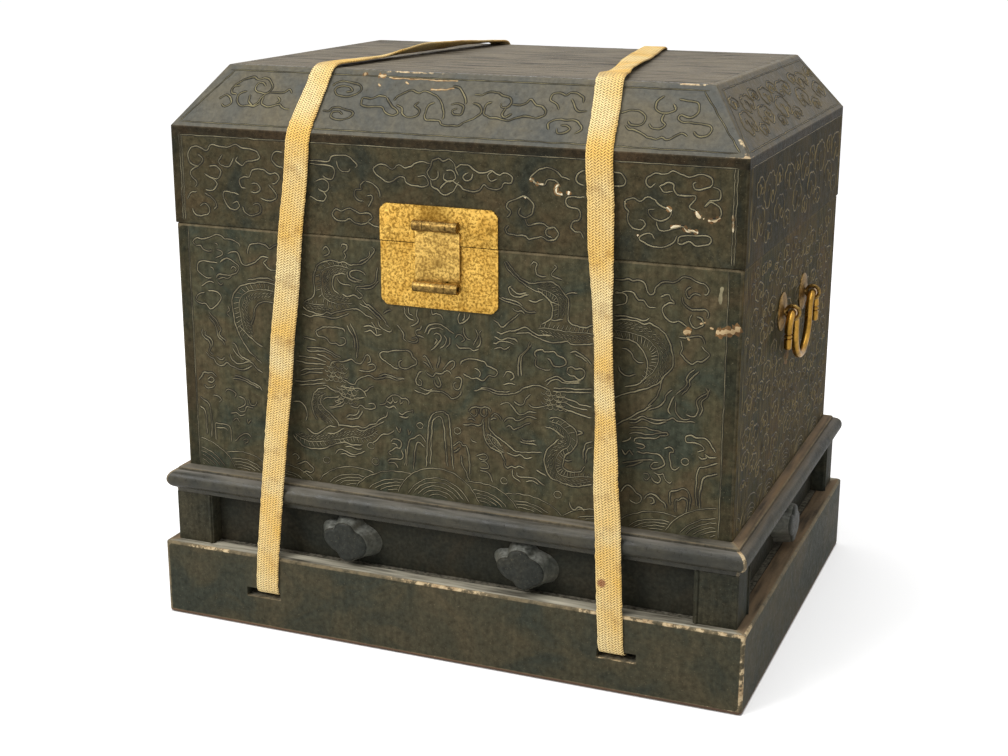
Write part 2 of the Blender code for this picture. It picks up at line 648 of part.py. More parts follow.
def rosette(place):
    """A round plate with a thin rim and a low dome, set on the wall."""
    lifts = [(0, ROSETTE_RADIUS), (ROSETTE_RIM, ROSETTE_RADIUS), (ROSETTE_DOME, ROSETTE_DOME_RADIUS)]
    bm = pulled_disc(ROSETTE_POINTS, lifts)
    bmesh.ops.transform(bm, matrix=place, verts=bm.verts)
    return bm


# Straps

def strap_path(strap):
    """Points on the chest that the strap bears on, from inside the front slot over to inside the rear one."""
    slot_end = PLINTH_HALF.y - PLINTH_BOARD - JOINT_GAP
    nose_y = BODY_HALF.y + MOULDING_PROJECTION
    rear_shoulder = strap["top_rear"] + strap["shoulder"] - strap["top_front"]

    def between(height, upper):
        share = (height - SLOT_TOP) / (SHOULDER_Z - SLOT_TOP)
        return strap["slot"] + (upper - strap["slot"]) * share

    def rise(facing, upper):
        return [
            (between(PLINTH_HEIGHT, upper), facing * PLINTH_HALF.y, PLINTH_HEIGHT),
            (between(NOSE_Z, upper), facing * nose_y, NOSE_Z),
            (upper, facing * LID_HALF.y, SHOULDER_Z),
        ]

    start = [(strap["slot"], -slot_end, SLOT_TOP), (strap["slot"], -PLINTH_HALF.y, SLOT_TOP)]
    top = [
        (strap["top_front"], -LID_TOP_HALF.y, LID_TOP_Z),
        (strap["top_rear"], LID_TOP_HALF.y, LID_TOP_Z),
    ]
    end = [(strap["slot"], PLINTH_HALF.y, SLOT_TOP), (strap["slot"], -slot_end, SLOT_TOP)]
    points = start + rise(-1, strap["shoulder"]) + top + rise(1, rear_shoulder)[::-1] + end
    return [Vector(point) for point in points]


def stand_off(points, distance):
    """Move a path off the surfaces it follows, square to each run in the YZ plane, mitred at each bend."""
    normals = []
    for first, second in zip(points, points[1:]):
        run = (second - first).yz.normalized()
        normals.append(Vector((-run.y, run.x)))
    moved = []
    for index, point in enumerate(points):
        before, after = normals[max(index - 1, 0)], normals[min(index, len(normals) - 1)]
        shift = (before + after) * distance / (1 + before.dot(after))
        moved.append(point + Vector((0, shift.x, shift.y)))
    return moved


def at_height(first, second, height):
    share = (height - first.z) / (second.z - first.z)
    return first.lerp(second, share)


def ribbon(name, path, holder=None):
    """A strip of webbing along a path of middle points, thickened away from the chest."""
    bm = bmesh.new()
    bmesh.ops.create_grid(bm, x_segments=1, y_segments=len(path) - 1, size=1.0)
    bm.verts.ensure_lookup_table()
    for index, vert in enumerate(bm.verts):
        row, column = divmod(index, 2)
        vert.co = path[row] + Vector(((column - 0.5) * STRAP_WIDTH, 0, 0))
    mesh = bpy.data.meshes.new(name)
    bm.to_mesh(mesh)
    bm.free()
    mesh.materials.append(WEBBING)
    part = bpy.data.objects.new(name, mesh)
    PARTS.objects.link(part)
    solidify = part.modifiers.new("webbing", "SOLIDIFY")
    solidify.thickness = STRAP_THICKNESS
    solidify.offset = 1.0
    solidify.use_even_offset = True
    return hold(part, holder)


def build_strap(side, lid_axis):
    path = stand_off(strap_path(STRAP_X[side]), JOINT_GAP)
    slot, nose, shoulder = path[:3], path[3], path[4]
    rear_shoulder, rear_nose, rear_slot = path[7], path[8], path[9:]
    above, below = LID_BOTTOM + STRAP_SPLIT_GAP / 2, LID_BOTTOM - STRAP_SPLIT_GAP / 2
    front_split = [at_height(nose, shoulder, height) for height in (below, above)]
    rear_split = [at_height(rear_nose, rear_shoulder, height) for height in (below, above)]
    drop_axis = add_axis(f"strap_{side}_axis", front_split[0])
    ribbon(f"strap_{side}_front_drop", slot + [nose, front_split[0]], drop_axis)
    ribbon(f"strap_{side}_over_lid", [front_split[1]] + path[4:8] + [rear_split[1]], lid_axis)
    under_run = rear_slot[:-1] + [rear_slot[-1] + Vector((0, JOINT_GAP * 2, 0))]
    ribbon(f"strap_{side}_rear_drop", [rear_split[0], rear_nose] + under_run)


def build_chest():
    lid_axis = add_axis("lid_axis", (0, HINGE_AXIS_Y, HINGE_AXIS_Z))
    hasp_axis = add_axis("hasp_axis", (LOCK_CENTRE_X, HASP_AXIS_Y, HASP_AXIS_Z))
    build_plinth()
    build_posts()
    build_frieze()
    build_bosses()
    walls = build_body()
    build_lid(lid_axis)
    build_lock(lid_axis, hasp_axis)
    for side, sign in ENDS.items():
        build_hinge(side, sign * HINGE_X, lid_axis)
        build_handle(side, sign, walls[side])
        build_strap(side, lid_axis)


build_chest()
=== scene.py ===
"""Looks of the lacquered travel chest: worn lacquer, raised line ornament, cast brass and cotton webbing.

Metres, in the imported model's frame: the front faces -Y and the floor is at Z = 0. Drawings on the
panels are in millimetres on the panel's own plane, with u to the right and v upwards.
"""
import math
import random

import bmesh
import bpy
from mathutils import Matrix, Vector, noise
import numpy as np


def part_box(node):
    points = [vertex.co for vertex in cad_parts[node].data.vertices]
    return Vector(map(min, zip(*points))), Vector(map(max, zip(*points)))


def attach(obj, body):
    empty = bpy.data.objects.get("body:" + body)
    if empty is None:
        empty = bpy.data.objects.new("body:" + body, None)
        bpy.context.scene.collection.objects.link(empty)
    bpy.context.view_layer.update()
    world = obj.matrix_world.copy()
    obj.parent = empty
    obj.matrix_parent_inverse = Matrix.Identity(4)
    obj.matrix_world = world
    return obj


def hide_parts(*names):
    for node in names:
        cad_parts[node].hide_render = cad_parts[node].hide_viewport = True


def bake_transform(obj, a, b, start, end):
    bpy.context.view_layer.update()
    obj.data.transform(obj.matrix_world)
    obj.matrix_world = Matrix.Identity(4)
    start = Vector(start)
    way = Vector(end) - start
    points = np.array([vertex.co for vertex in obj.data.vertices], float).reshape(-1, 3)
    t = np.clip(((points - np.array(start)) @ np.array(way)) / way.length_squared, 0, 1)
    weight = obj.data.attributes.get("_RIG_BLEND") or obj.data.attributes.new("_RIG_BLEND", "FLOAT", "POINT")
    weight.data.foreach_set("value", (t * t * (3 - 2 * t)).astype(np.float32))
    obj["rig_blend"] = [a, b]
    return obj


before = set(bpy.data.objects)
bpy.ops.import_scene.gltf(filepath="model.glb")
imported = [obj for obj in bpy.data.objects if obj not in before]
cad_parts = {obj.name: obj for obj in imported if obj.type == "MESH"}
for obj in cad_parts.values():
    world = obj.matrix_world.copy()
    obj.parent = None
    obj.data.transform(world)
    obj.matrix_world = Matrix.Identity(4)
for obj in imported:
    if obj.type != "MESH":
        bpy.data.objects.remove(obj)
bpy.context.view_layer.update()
MM = 0.001

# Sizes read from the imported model
LID_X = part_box("lid_right_skirt")[1].x
LID_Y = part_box("lid_rear_skirt")[1].y
LID_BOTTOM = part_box("lid_front_skirt")[0].z
SHOULDER_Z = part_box("lid_front_slope")[0].z
LID_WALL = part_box("lid_front_skirt")[1].y + LID_Y
TOP_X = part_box("lid_top_panel")[1].x
TOP_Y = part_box("lid_top_panel")[1].y
TOP_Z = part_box("lid_top_panel")[1].z
TOP_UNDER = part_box("lid_top_panel")[0].z
BODY_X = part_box("body_right_wall")[1].x
BODY_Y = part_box("body_rear_wall")[1].y
BODY_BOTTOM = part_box("body_front_wall")[0].z
BODY_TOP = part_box("body_front_wall")[1].z
BODY_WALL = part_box("body_front_wall")[1].y + BODY_Y
MOULDING_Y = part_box("moulding_rear_rail")[1].y
MOULDING_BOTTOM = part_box("moulding_rear_rail")[0].z
MOULDING_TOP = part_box("moulding_rear_rail")[1].z
PLINTH_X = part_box("plinth_right_board")[1].x
PLINTH_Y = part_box("plinth_rear_board")[1].y
PLINTH_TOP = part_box("plinth_rear_board")[1].z
PLINTH_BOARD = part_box("plinth_front_board")[1].y + PLINTH_Y
POST_LOW, POST_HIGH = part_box("corner_post_front_right")
HIP_INSET = LID_X - TOP_X
HIP_RISE = TOP_Z - SHOULDER_Z
SLOPE_LENGTH = math.hypot(HIP_INSET, HIP_RISE) / MM
BODY_HALF = Vector((BODY_X, BODY_Y))
LID_HALF = Vector((LID_X, LID_Y))
PLINTH_HALF = Vector((PLINTH_X, PLINTH_Y))
PIN = sum(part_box("hasp_pin"), Vector()) / 2
FLAP_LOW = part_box("hasp_flap")[0]
BARREL_RADIUS = PIN.y - FLAP_LOW.y
LATCH_Z = FLAP_LOW.z + BARREL_RADIUS

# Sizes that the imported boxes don't give
SEAM = 0.00012
LID_GAP = 0.0003
RIM_Z = LID_BOTTOM - LID_GAP
LIP_INSET = 0.0115
SLOT_TOP = 0.0415
SLOT_HEIGHT = 0.0090
SLOT_LOW = SLOT_TOP - SLOT_HEIGHT
SLOT_WIDTH = 0.037
SLOT_MIDDLES = (-0.1840, 0.1775)
NOSE_DROP = 0.0138
NOSE_Z = MOULDING_TOP - NOSE_DROP

# Brown stains on the lock's plate and flap: (place, reach)
PLATE_STAIN = (PIN + Vector((-0.004, 0, 0.010)), 0.022)
FLAP_STAIN = (Vector((PIN.x + 0.002, PIN.y, LATCH_Z + 0.021)), 0.009)
NO_STAIN = (Vector((0, 0, 0)), 0.001)

# Where paint has dripped on the right strap, between the plinth's edge and the moulding's nose
DRIP_LINE = Vector((-PLINTH_Y, PLINTH_TOP)).lerp(Vector((-MOULDING_Y, NOSE_Z)), 0.46)
RED_DROP = Vector((0.163, DRIP_LINE.x - 0.0027, DRIP_LINE.y))

# Places of the border threads, in millimetres from a panel's ends
BODY_BORDER = 12.5
LID_BORDERS = (9.5, 12)

SIDES = {
    "front": (Vector((0, -1, 0)), Vector((1, 0, 0))),
    "right": (Vector((1, 0, 0)), Vector((0, 1, 0))),
    "rear": (Vector((0, 1, 0)), Vector((-1, 0, 0))),
    "left": (Vector((-1, 0, 0)), Vector((0, -1, 0))),
}
LONG_SIDES = ("front", "rear")


# Materials

EVEN_GRAIN = (1.0, 1.0, 1.0)
UPRIGHT_GRAIN = (1.0, 1.0, 0.12)
GRAIN_ALONG_X = (0.05, 0.5, 0.5)
GRAIN_ALONG_Y = (0.5, 0.05, 0.5)
PLANED_GRAIN = (0.04, 1.0, 1.0)


def colour(code):
    """Linear colour of an sRGB hex value."""
    parts = [int(code[index:index + 2], 16) / 255 for index in (1, 3, 5)]
    linear = [part / 12.92 if part <= 0.04045 else ((part + 0.055) / 1.055) ** 2.4 for part in parts]
    return (*linear, 1.0)


def per_metre(millimetres):
    """Scale of a pattern whose features are this big."""
    return 1000 / millimetres


def node(tree, kind, inputs=None, **settings):
    """Add one node; an input is a value, a socket, or a node whose first live output feeds it."""
    made = tree.nodes.new(kind)
    for key, value in settings.items():
        setattr(made, key, value)
    for key, value in (inputs or {}).items():
        if isinstance(value, bpy.types.Node):
            value = next(output for output in value.outputs if output.enabled)
        if isinstance(value, bpy.types.NodeSocket):
            tree.links.new(value, made.inputs[key])
        else:
            made.inputs[key].default_value = value
    return made


def clouds(tree, place, scale, detail, rough=0.5, distort=0.0):
    return node(tree, "ShaderNodeTexNoise", {"Vector": place, "Scale": scale, "Detail": detail,
                                             "Roughness": rough, "Distortion": distort})


def ramp(tree, value, start, end, low=0.0, high=1.0):
    """Low before the value reaches start, high past end."""
    return node(tree, "ShaderNodeMapRange", {"Value": value, "From Min": start, "From Max": end,
                                             "To Min": low, "To Max": high})


def mix(tree, share, under, over, blend="MIX"):
    """A share of one colour over another, each a hex value or what feeds it."""
    under, over = (colour(side) if isinstance(side, str) else side for side in (under, over))
    return node(tree, "ShaderNodeMix", {0: share, 6: under, 7: over}, data_type="RGBA", blend_type=blend)


def maths(tree, operation, *values):
    return node(tree, "ShaderNodeMath", dict(enumerate(values)), operation=operation)


def vectors(tree, operation, *values):
    return node(tree, "ShaderNodeVectorMath", dict(enumerate(values)), operation=operation)


def split(tree, vector):
    return node(tree, "ShaderNodeSeparateXYZ", {"Vector": vector})


def bump(tree, height, strength, distance):
    return node(tree, "ShaderNodeBump", {"Height": height, "Strength": strength, "Distance": distance})


def start_finish(name):
    """A new material with its tree and the piece's own coordinates."""
    material = bpy.data.materials.new(name)
    material.use_nodes = True
    tree = material.node_tree
    tree.nodes.remove(tree.nodes["Principled BSDF"])
    return material, tree, node(tree, "ShaderNodeTexCoord")


def end_finish(tree, inputs):
    """The shader with what feeds it, joined to the output."""
    shader = node(tree, "ShaderNodeBsdfPrincipled", inputs)
    tree.links.new(shader.outputs["BSDF"], tree.nodes["Material Output"].inputs["Surface"])


def lacquer(name, coats, dust, rough, shine, grain=EVEN_GRAIN, streak=0.2, worn=(), mottled=0.5, specked=0.4,
            rub=0.25, speck="#857B63", margin=None):
    """Aged lacquer on wood: a dark coat clouded with olive and brown, speckled, dusty, and worn at its edges,
    where a pale line is also a painted highlight.

    The coat is brushed on and rubbed by hand, so it is half glossy and uneven. Patches are about 66 mm
    across, mottling 5.5 mm, and specks 1.1 mm; streaks follow the grain. Worn is a list of (place, reach)
    within which the edges have lost their coat down to the pale ground. Streak, mottled, specked and rub
    are how strong those are; beyond margin, from the chest's middle, the coat is dark and never rubbed.
    """
    material, tree, place = start_finish(name)
    spot = place.outputs["Object"]
    patches = clouds(tree, spot, per_metre(66), 6, 0.62, 0.9)
    mottle = clouds(tree, spot, per_metre(5.5), 6, 0.7)
    stretched = node(tree, "ShaderNodeMapping", {"Vector": spot, "Scale": grain})
    streaks = clouds(tree, stretched, per_metre(3.3), 5)
    specks = clouds(tree, spot, per_metre(1.1), 2)
    ragged = clouds(tree, spot, per_metre(11), 8, 0.72)
    dark, olive, brown = coats
    shown = mix(tree, ramp(tree, patches, 0.36, 0.50), dark, olive)
    shown = mix(tree, ramp(tree, patches, 0.50, 0.66), shown, brown)
    shade = ramp(tree, mottle, 0.30, 0.72, 1 - mottled, 1 + mottled)
    lines = ramp(tree, streaks, 0.36, 0.66, 1 - streak, 1 + streak)
    layers = [shade, lines]
    if margin:
        out = maths(tree, "ABSOLUTE", split(tree, spot))
        layers.append(ramp(tree, out, margin - MM, margin, 1.0, 0.62))
    for layer in layers:
        shown = mix(tree, 1.0, shown, layer, "MULTIPLY")

    lying = ramp(tree, split(tree, place.outputs["Normal"]).outputs["Z"], 0.60, 0.97)
    thick = ramp(tree, streaks, 0.30, 0.70)
    dusty = maths(tree, "MULTIPLY", lying, thick)
    shown = mix(tree, dusty, shown, dust)
    shown = mix(tree, ramp(tree, specks, 0.67, 0.74, high=specked), shown, speck)

    # A paler line along the edges: partly rubbed coat, partly a painted highlight where an edge catches the
    # light
    edge = node(tree, "ShaderNodeAttribute", attribute_name="wear").outputs["Fac"]
    thin = ramp(tree, ragged, 0.30, 0.60, high=rub)
    rubbed = maths(tree, "MULTIPLY", ramp(tree, edge, 0.72, 1.0), thin)
    shown = mix(tree, rubbed, shown, "#8A7A5E")
    near = 0.0
    for centre, reach in worn:
        close = ramp(tree, vectors(tree, "DISTANCE", spot, centre), reach, reach * 0.3, high=0.2)
        near = maths(tree, "MAXIMUM", near, close)
    bare = ramp(tree, maths(tree, "ADD", ragged, near), 0.655, 0.70)
    lost = maths(tree, "MULTIPLY", ramp(tree, edge, 0.80, 0.97), bare)
    ground = mix(tree, ramp(tree, mottle, 0.36, 0.62), "#8A6A48", "#CDB892")
    shown = mix(tree, lost, shown, ground)

    gloss = ramp(tree, mottle, 0.3, 0.7, rough - 0.12, rough + 0.16)
    dull = maths(tree, "MAXIMUM", gloss, dusty)
    swells = maths(tree, "MULTIPLY_ADD", patches, 2.5, mottle)
    end_finish(tree, {"Base Color": shown, "Roughness": dull, "Specular IOR Level": shine,
                      "Normal": bump(tree, swells, 0.4, 0.0008)})
    return material


def thread_lacquer(name, pale, dark, rough):
    """Raised lacquer threads: a cord of paste, coated, and rubbed on its crest in 16 mm patches."""
    material, tree, place = start_finish(name)
    patches = clouds(tree, place.outputs["Object"], per_metre(16), 5)
    shown = mix(tree, ramp(tree, patches, 0.35, 0.62), dark, pale)
    end_finish(tree, {"Base Color": shown, "Roughness": rough, "Specular IOR Level": 0.2})
    return material


def bare_wood(name, dark, pale):
    """Planed softwood left bare inside: long grain along X with paler and darker bands of about 6 mm."""
    material, tree, place = start_finish(name)
    stretched = node(tree, "ShaderNodeMapping", {"Vector": place.outputs["Object"], "Scale": PLANED_GRAIN})
    grain = clouds(tree, stretched, per_metre(6), 6)
    shown = mix(tree, ramp(tree, grain, 0.32, 0.68), dark, pale)
    end_finish(tree, {"Base Color": shown, "Roughness": 0.72, "Normal": bump(tree, grain, 0.3, 0.0005)})
    return material


def brass(name, bright, worn, dirt_and_shade, rough, chased, tarnish=NO_STAIN):
    """Cast brass finished by hand: warm yellow metal, with painted shade that browns it towards the rear, and
    a chased grain.

    Chased, from 0 to 1, is how deep the grain is. It is 2.4 mm across with 7 mm squiggles over it, and the
    duller patches are about 20 mm. Tarnish is (place, reach) of a brown stain.
    """
    material, tree, place = start_finish(name)
    spot = place.outputs["Object"]
    patches = clouds(tree, spot, per_metre(20), 6, 0.65, 0.5)
    grain = clouds(tree, spot, per_metre(2.4), 3, 0.6)
    squiggles = clouds(tree, spot, per_metre(7), 3, distort=2.5)
    shown = mix(tree, ramp(tree, patches, 0.34, 0.60), worn, bright)
    pitted = ramp(tree, grain, 0.56, 0.40, high=0.1 + 0.7 * chased)
    hollow = ramp(tree, squiggles, 0.46, 0.36, high=0.2 + 0.25 * chased)
    # Painted shade: the brown of pits and dirt also darkens the faces turned to the rear
    rear = ramp(tree, split(tree, place.outputs["Normal"]).outputs["Y"], -0.1, 0.8, high=0.8)
    centre, reach = tarnish
    stain = ramp(tree, vectors(tree, "DISTANCE", spot, centre), reach, reach * 0.3, high=0.6)
    for layer in (pitted, hollow, rear, stain):
        shown = mix(tree, layer, shown, dirt_and_shade)
    gloss = ramp(tree, patches, 0.3, 0.7, rough + 0.1, rough - 0.06)
    end_finish(tree, {"Base Color": shown, "Roughness": gloss, "Metallic": 1.0,
                      "Normal": bump(tree, grain, 0.1 + 0.4 * chased, 0.0006)})
    return material


def webbing(name, pale, golden, deep, stain, red):
    """Cotton webbing woven in herringbone: columns of slanting yarns, yellowed and stained.

    Its UVs are millimetres across and along the strap. The yellowing comes in stretches of about 60 mm
    and the brown stains of about 35 mm; red is where a drop of red paint has dried.
    """
    column, yarn, slant = 3.0, 2.4, 0.85
    material, tree, place = start_finish(name)
    weave = place.outputs["UV"]
    flat = split(tree, weave)
    across, along = flat.outputs["X"], flat.outputs["Y"]
    zigzag = maths(tree, "PINGPONG", across, column)
    phase = maths(tree, "MULTIPLY_ADD", zigzag, slant, along)
    yarns = maths(tree, "SINE", maths(tree, "MULTIPLY", phase, math.tau / yarn))
    columns = maths(tree, "SINE", maths(tree, "MULTIPLY", across, math.tau / column))
    fuzz = clouds(tree, weave, 1.6, 4)
    height = maths(tree, "MULTIPLY_ADD", columns, 0.35, yarns)
    height = maths(tree, "MULTIPLY_ADD", fuzz, 1.6, height)
    yellowed = clouds(tree, weave, 1 / 60, 4)
    shown = mix(tree, ramp(tree, yellowed, 0.38, 0.62), pale, golden)
    shown = mix(tree, ramp(tree, height, 0.48, -0.2, high=0.92), shown, deep)
    soil = clouds(tree, weave, 1 / 35, 7, 0.66)
    shown = mix(tree, ramp(tree, soil, 0.53, 0.70, high=0.6), shown, stain)
    away = vectors(tree, "DISTANCE", place.outputs["Object"], red)
    spread = maths(tree, "MULTIPLY_ADD", fuzz, 0.006, away)
    shown = mix(tree, ramp(tree, spread, 0.0080, 0.0058, high=0.75), shown, "#7E3020")
    end_finish(tree, {"Base Color": shown, "Roughness": 0.92, "Sheen Weight": 0.1, "Specular IOR Level": 0.2,
                      "Normal": bump(tree, height, 0.8, 0.0005)})
    return material


# Where the coat is worn off the edges: (place, reach)
BODY_WEAR = [(Vector((BODY_X, -BODY_Y, RIM_Z - 0.05)), 0.05)]
SHOULDER_WEAR = (Vector((LID_X, -LID_Y, SHOULDER_Z)), 0.035)
LID_WEAR = [SHOULDER_WEAR, (Vector((LID_X, -LID_Y, LID_BOTTOM)), 0.03)]
SLOPE_WEAR = [
    (Vector((-0.05, -TOP_Y, TOP_Z)), 0.05), (Vector((TOP_X - 0.02, -TOP_Y, TOP_Z)), 0.035), SHOULDER_WEAR]
PLINTH_WEAR = [(Vector((PLINTH_X, -PLINTH_Y, PLINTH_TOP * 0.5)), 0.07)]
PLINTH_WEAR += [(Vector((x, -PLINTH_Y, PLINTH_TOP)), reach)
                for x, reach in ((0.0, 0.08), (0.2, 0.1), (-0.24, 0.04), (PLINTH_X, 0.06))]
NOSE_WEAR = [(Vector((BODY_X, -BODY_Y, MOULDING_TOP)), 0.04)]

LEDGE_COATS = ("#3A3932", "#474237", "#514A3B")
NOSE_COATS = ("#32322C", "#3B3930", "#423E32")

BODY_LACQUER = lacquer(
    "body_lacquer", ("#3A3D32", "#484432", "#504633"), "#6F6652", rough=0.52, shine=0.035,
    grain=UPRIGHT_GRAIN, streak=0.14, worn=BODY_WEAR, mottled=0.45, rub=0.55,
    margin=BODY_X - BODY_BORDER * MM)
BODY_END_LACQUER = lacquer(
    "body_end_lacquer", ("#3B3928", "#494029", "#51422A"), "#6F6652", rough=0.52, shine=0.03,
    grain=UPRIGHT_GRAIN, streak=0.55, mottled=0.7, specked=0.9, speck="#8A7648")
LID_LACQUER = lacquer(
    "lid_lacquer", ("#32332A", "#433E2D", "#4B402D"), "#6A6454", rough=0.48, shine=0.035, streak=0.14,
    worn=LID_WEAR, mottled=0.45, margin=LID_X - LID_BORDERS[0] * MM)
LID_END_LACQUER = lacquer(
    "lid_end_lacquer", ("#2F2D22", "#3E3725", "#453925"), "#6A6454", rough=0.48, shine=0.03,
    grain=UPRIGHT_GRAIN, streak=0.36, worn=LID_WEAR)
SLOPE_LACQUER = lacquer(
    "lid_slope_lacquer", ("#4A4B46", "#575449", "#5E5745"), "#4E4A40", rough=0.36, shine=0.17, streak=0.10,
    worn=SLOPE_WEAR, mottled=0.22, specked=0.2, rub=0.1)
SLOPE_END_LACQUER = lacquer(
    "lid_end_slope_lacquer", ("#49463C", "#564E3D", "#5E533C"), "#6A6355", rough=0.42, shine=0.08,
    streak=0.10, worn=SLOPE_WEAR, mottled=0.3)
BAND_LACQUER = lacquer(
    "shoulder_band_lacquer", ("#25241C", "#30291C", "#3A2E1F"), "#5A5244", rough=0.42, shine=0.07, rub=0.12)
TOP_LACQUER = lacquer(
    "lid_top_lacquer", ("#26231F", "#3A342B", "#4E4637"), "#80786A", rough=0.58, shine=0.05,
    grain=GRAIN_ALONG_X, streak=0.45, mottled=0.8, specked=0.9, speck="#CBBC90")
BASE_LACQUER = lacquer(
    "base_lacquer", ("#373930", "#423F31", "#4C4534"), "#857F70", rough=0.46, shine=0.06, grain=UPRIGHT_GRAIN,
    streak=0.08, worn=PLINTH_WEAR, mottled=0.36, rub=0.75)
POST_LACQUER = lacquer(
    "post_lacquer", ("#2F312A", "#37352A", "#3D392C"), "#857F70", rough=0.50, shine=0.05, grain=UPRIGHT_GRAIN,
    streak=0.16)
LEDGE_LACQUER = lacquer(
    "dusty_ledge_lacquer", LEDGE_COATS, "#CCC5B0", rough=0.6, shine=0.06, grain=GRAIN_ALONG_X, streak=0.4,
    rub=0.75)
RAIL_LEDGE_LACQUER = lacquer(
    "moulding_ledge_lacquer", LEDGE_COATS, "#7C766A", rough=0.55, shine=0.08, grain=GRAIN_ALONG_X, rub=0.4)
LEDGE_END_LACQUER = lacquer(
    "dusty_end_ledge_lacquer", ("#4A443A", "#554B3E", "#5E5141"), "#8A745A", rough=0.6, shine=0.06,
    grain=GRAIN_ALONG_Y, rub=0.75)
NOSE_LACQUER = lacquer(
    "moulding_lacquer", NOSE_COATS, "#7A766E", rough=0.32, shine=0.22, grain=GRAIN_ALONG_X, streak=0.16,
    worn=NOSE_WEAR, mottled=0.3, specked=0.2, rub=0.75)
NOSE_END_LACQUER = lacquer(
    "moulding_end_lacquer", NOSE_COATS, "#7A6F60", rough=0.42, shine=0.1, grain=GRAIN_ALONG_Y, worn=NOSE_WEAR,
    mottled=0.3, rub=0.75)
BOSS_LACQUER = lacquer(
    "boss_face_lacquer", ("#2A2C28", "#30312C", "#36352D"), "#5A564C", rough=0.36, shine=0.10, mottled=0.3)
# Painted highlight: the flanks' lighter coat stands in for the sheen where they catch the light
FLANK_SHEEN_LACQUER = lacquer(
    "boss_flank_painted_sheen_lacquer", ("#52544D", "#5A5A51", "#605D53"), "#96978F", rough=0.38, shine=0.22, mottled=0.35)
DARK_LACQUER = lacquer(
    "recess_lacquer", ("#292A24", "#2E2D25", "#353127"), "#857F70", rough=0.46, shine=0.06, mottled=0.25,
    specked=0.1)
THREAD = thread_lacquer("raised_thread_lacquer", "#8E8567", "#564F3A", rough=0.5)
SLOPE_THREAD = thread_lacquer("raised_slope_thread_lacquer", "#8F8664", "#58523E", rough=0.5)
END_THREAD = thread_lacquer("raised_end_thread_lacquer", "#857653", "#4A4130", rough=0.55)
# Painted shadow: the colour of the flat dark cords laid round the raised threads
THREAD_SHADOW = thread_lacquer("thread_shadow_lacquer", "#1C1B12", "#15140E", rough=0.6)
RUBBED = thread_lacquer("rubbed_ground", "#7E5E38", "#4E3820", rough=0.7)
SCUFFED = thread_lacquer("scuffed_ground", "#C6AC82", "#8E7654", rough=0.8)
CHIPPED = thread_lacquer("chipped_ground", "#E6DABB", "#C3AC85", rough=0.8)
WOOD = bare_wood("bare_inner_wood", "#4A3422", "#6E5236")
PLATE_BRASS = brass("chased_brass", "#ECC062", "#CC9E46", "#7A581C", rough=0.5, chased=1, tarnish=PLATE_STAIN)
FLAP_BRASS = brass("hasp_brass", "#ECC46C", "#C49E52", "#745624", rough=0.48, chased=0.9, tarnish=FLAP_STAIN)
ROD_BRASS = brass("drawn_brass", "#CC9C48", "#94702E", "#3C2810", rough=0.28, chased=0)
OLD_BRASS = brass("dull_brass", "#A08248", "#785E32", "#3A2A14", rough=0.42, chased=0.8)
ROSETTE_BRASS = brass("tarnished_brass", "#AC8A50", "#806438", "#42321E", rough=0.46, chased=0.6)
WEBBING = webbing("cotton_webbing", "#FFE6A6", "#FFD070", "#704616", "#8A5A22", RED_DROP)


# Making pieces

WELD = 1e-6
SOFT_DEGREES = 60
MOSTLY = 0.9
DOWNWARD = -0.5


def place_piece(name, mesh, finishes, body, replaces=(), smooth_degrees=35):
    """Make a mesh a piece, which rides on a body if one is given."""
    for finish in finishes:
        mesh.materials.append(finish)
    mesh.shade_smooth()
    mesh.set_sharp_from_angle(angle=math.radians(smooth_degrees))
    piece = bpy.data.objects.new(name, mesh)
    bpy.context.scene.collection.objects.link(piece)
    if body:
        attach(piece, body)
    if replaces:
        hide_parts(*replaces)
    return piece


def new_piece(name, bm, finishes, body, replaces=(), smooth_degrees=35):
    """Turn a bmesh into a piece."""
    bmesh.ops.recalc_face_normals(bm, faces=bm.faces)
    mesh = bpy.data.meshes.new(name)
    bm.to_mesh(mesh)
    bm.free()
    return place_piece(name, mesh, finishes, body, replaces, smooth_degrees)


def wrapped_grid(columns, rows):
    """Rows of vertices, each with one more than its columns, so that a row can close on itself."""
    bm = bmesh.new()
    bmesh.ops.create_grid(bm, x_segments=columns, y_segments=rows - 1, size=1.0)
    bm.verts.ensure_lookup_table()
    bm.faces.ensure_lookup_table()
    return bm


def close_tube(bm, weld=WELD):
    """Weld the closed rows and cap both ends."""
    bmesh.ops.remove_doubles(bm, verts=bm.verts, dist=weld)
    bmesh.ops.holes_fill(bm, edges=[edge for edge in bm.edges if edge.is_boundary], sides=0)


def block(size, middle):
    bm = bmesh.new()
    bmesh.ops.create_cube(bm, size=1.0)
    bmesh.ops.scale(bm, vec=size, verts=bm.verts)
    bmesh.ops.translate(bm, vec=middle, verts=bm.verts)
    return bm


def ease(bm, edges, reach, segments, clamp=False):
    bmesh.ops.bevel(bm, geom=edges, offset=reach, affect="EDGES", segments=segments, profile=0.5, material=-1,
                    clamp_overlap=clamp)


# Mitred shells: each side of the chest is a rounded profile swept along it and turned round the corner

ARC_STEPS = 4
PLAN_STEPS = 3
SUPPORT = 0.003
KEPT_RADIUS = 0.00085
CORNER_WEAR = 0.8

# Radii of the edges in profile, and of the corners in plan
PLINTH_FOOT, PLINTH_EDGE, PLINTH_BACK, PLINTH_PLAN = 0.0035, 0.0022, 0.0004, 0.003
STEP_EDGE, LEDGE_EDGE, MOULDING_PLAN = 0.0008, 0.0009, 0.002
RIM_EDGE, LIP_EDGE, BODY_PLAN = 0.0020, 0.0006, 0.0025
SKIRT_EDGE, SHOULDER_EDGE, TOP_EDGE, LID_PLAN = 0.0008, 0.0018, 0.0022, 0.0022
TOP_EASE, POST_EASE = 0.0003, 0.0012

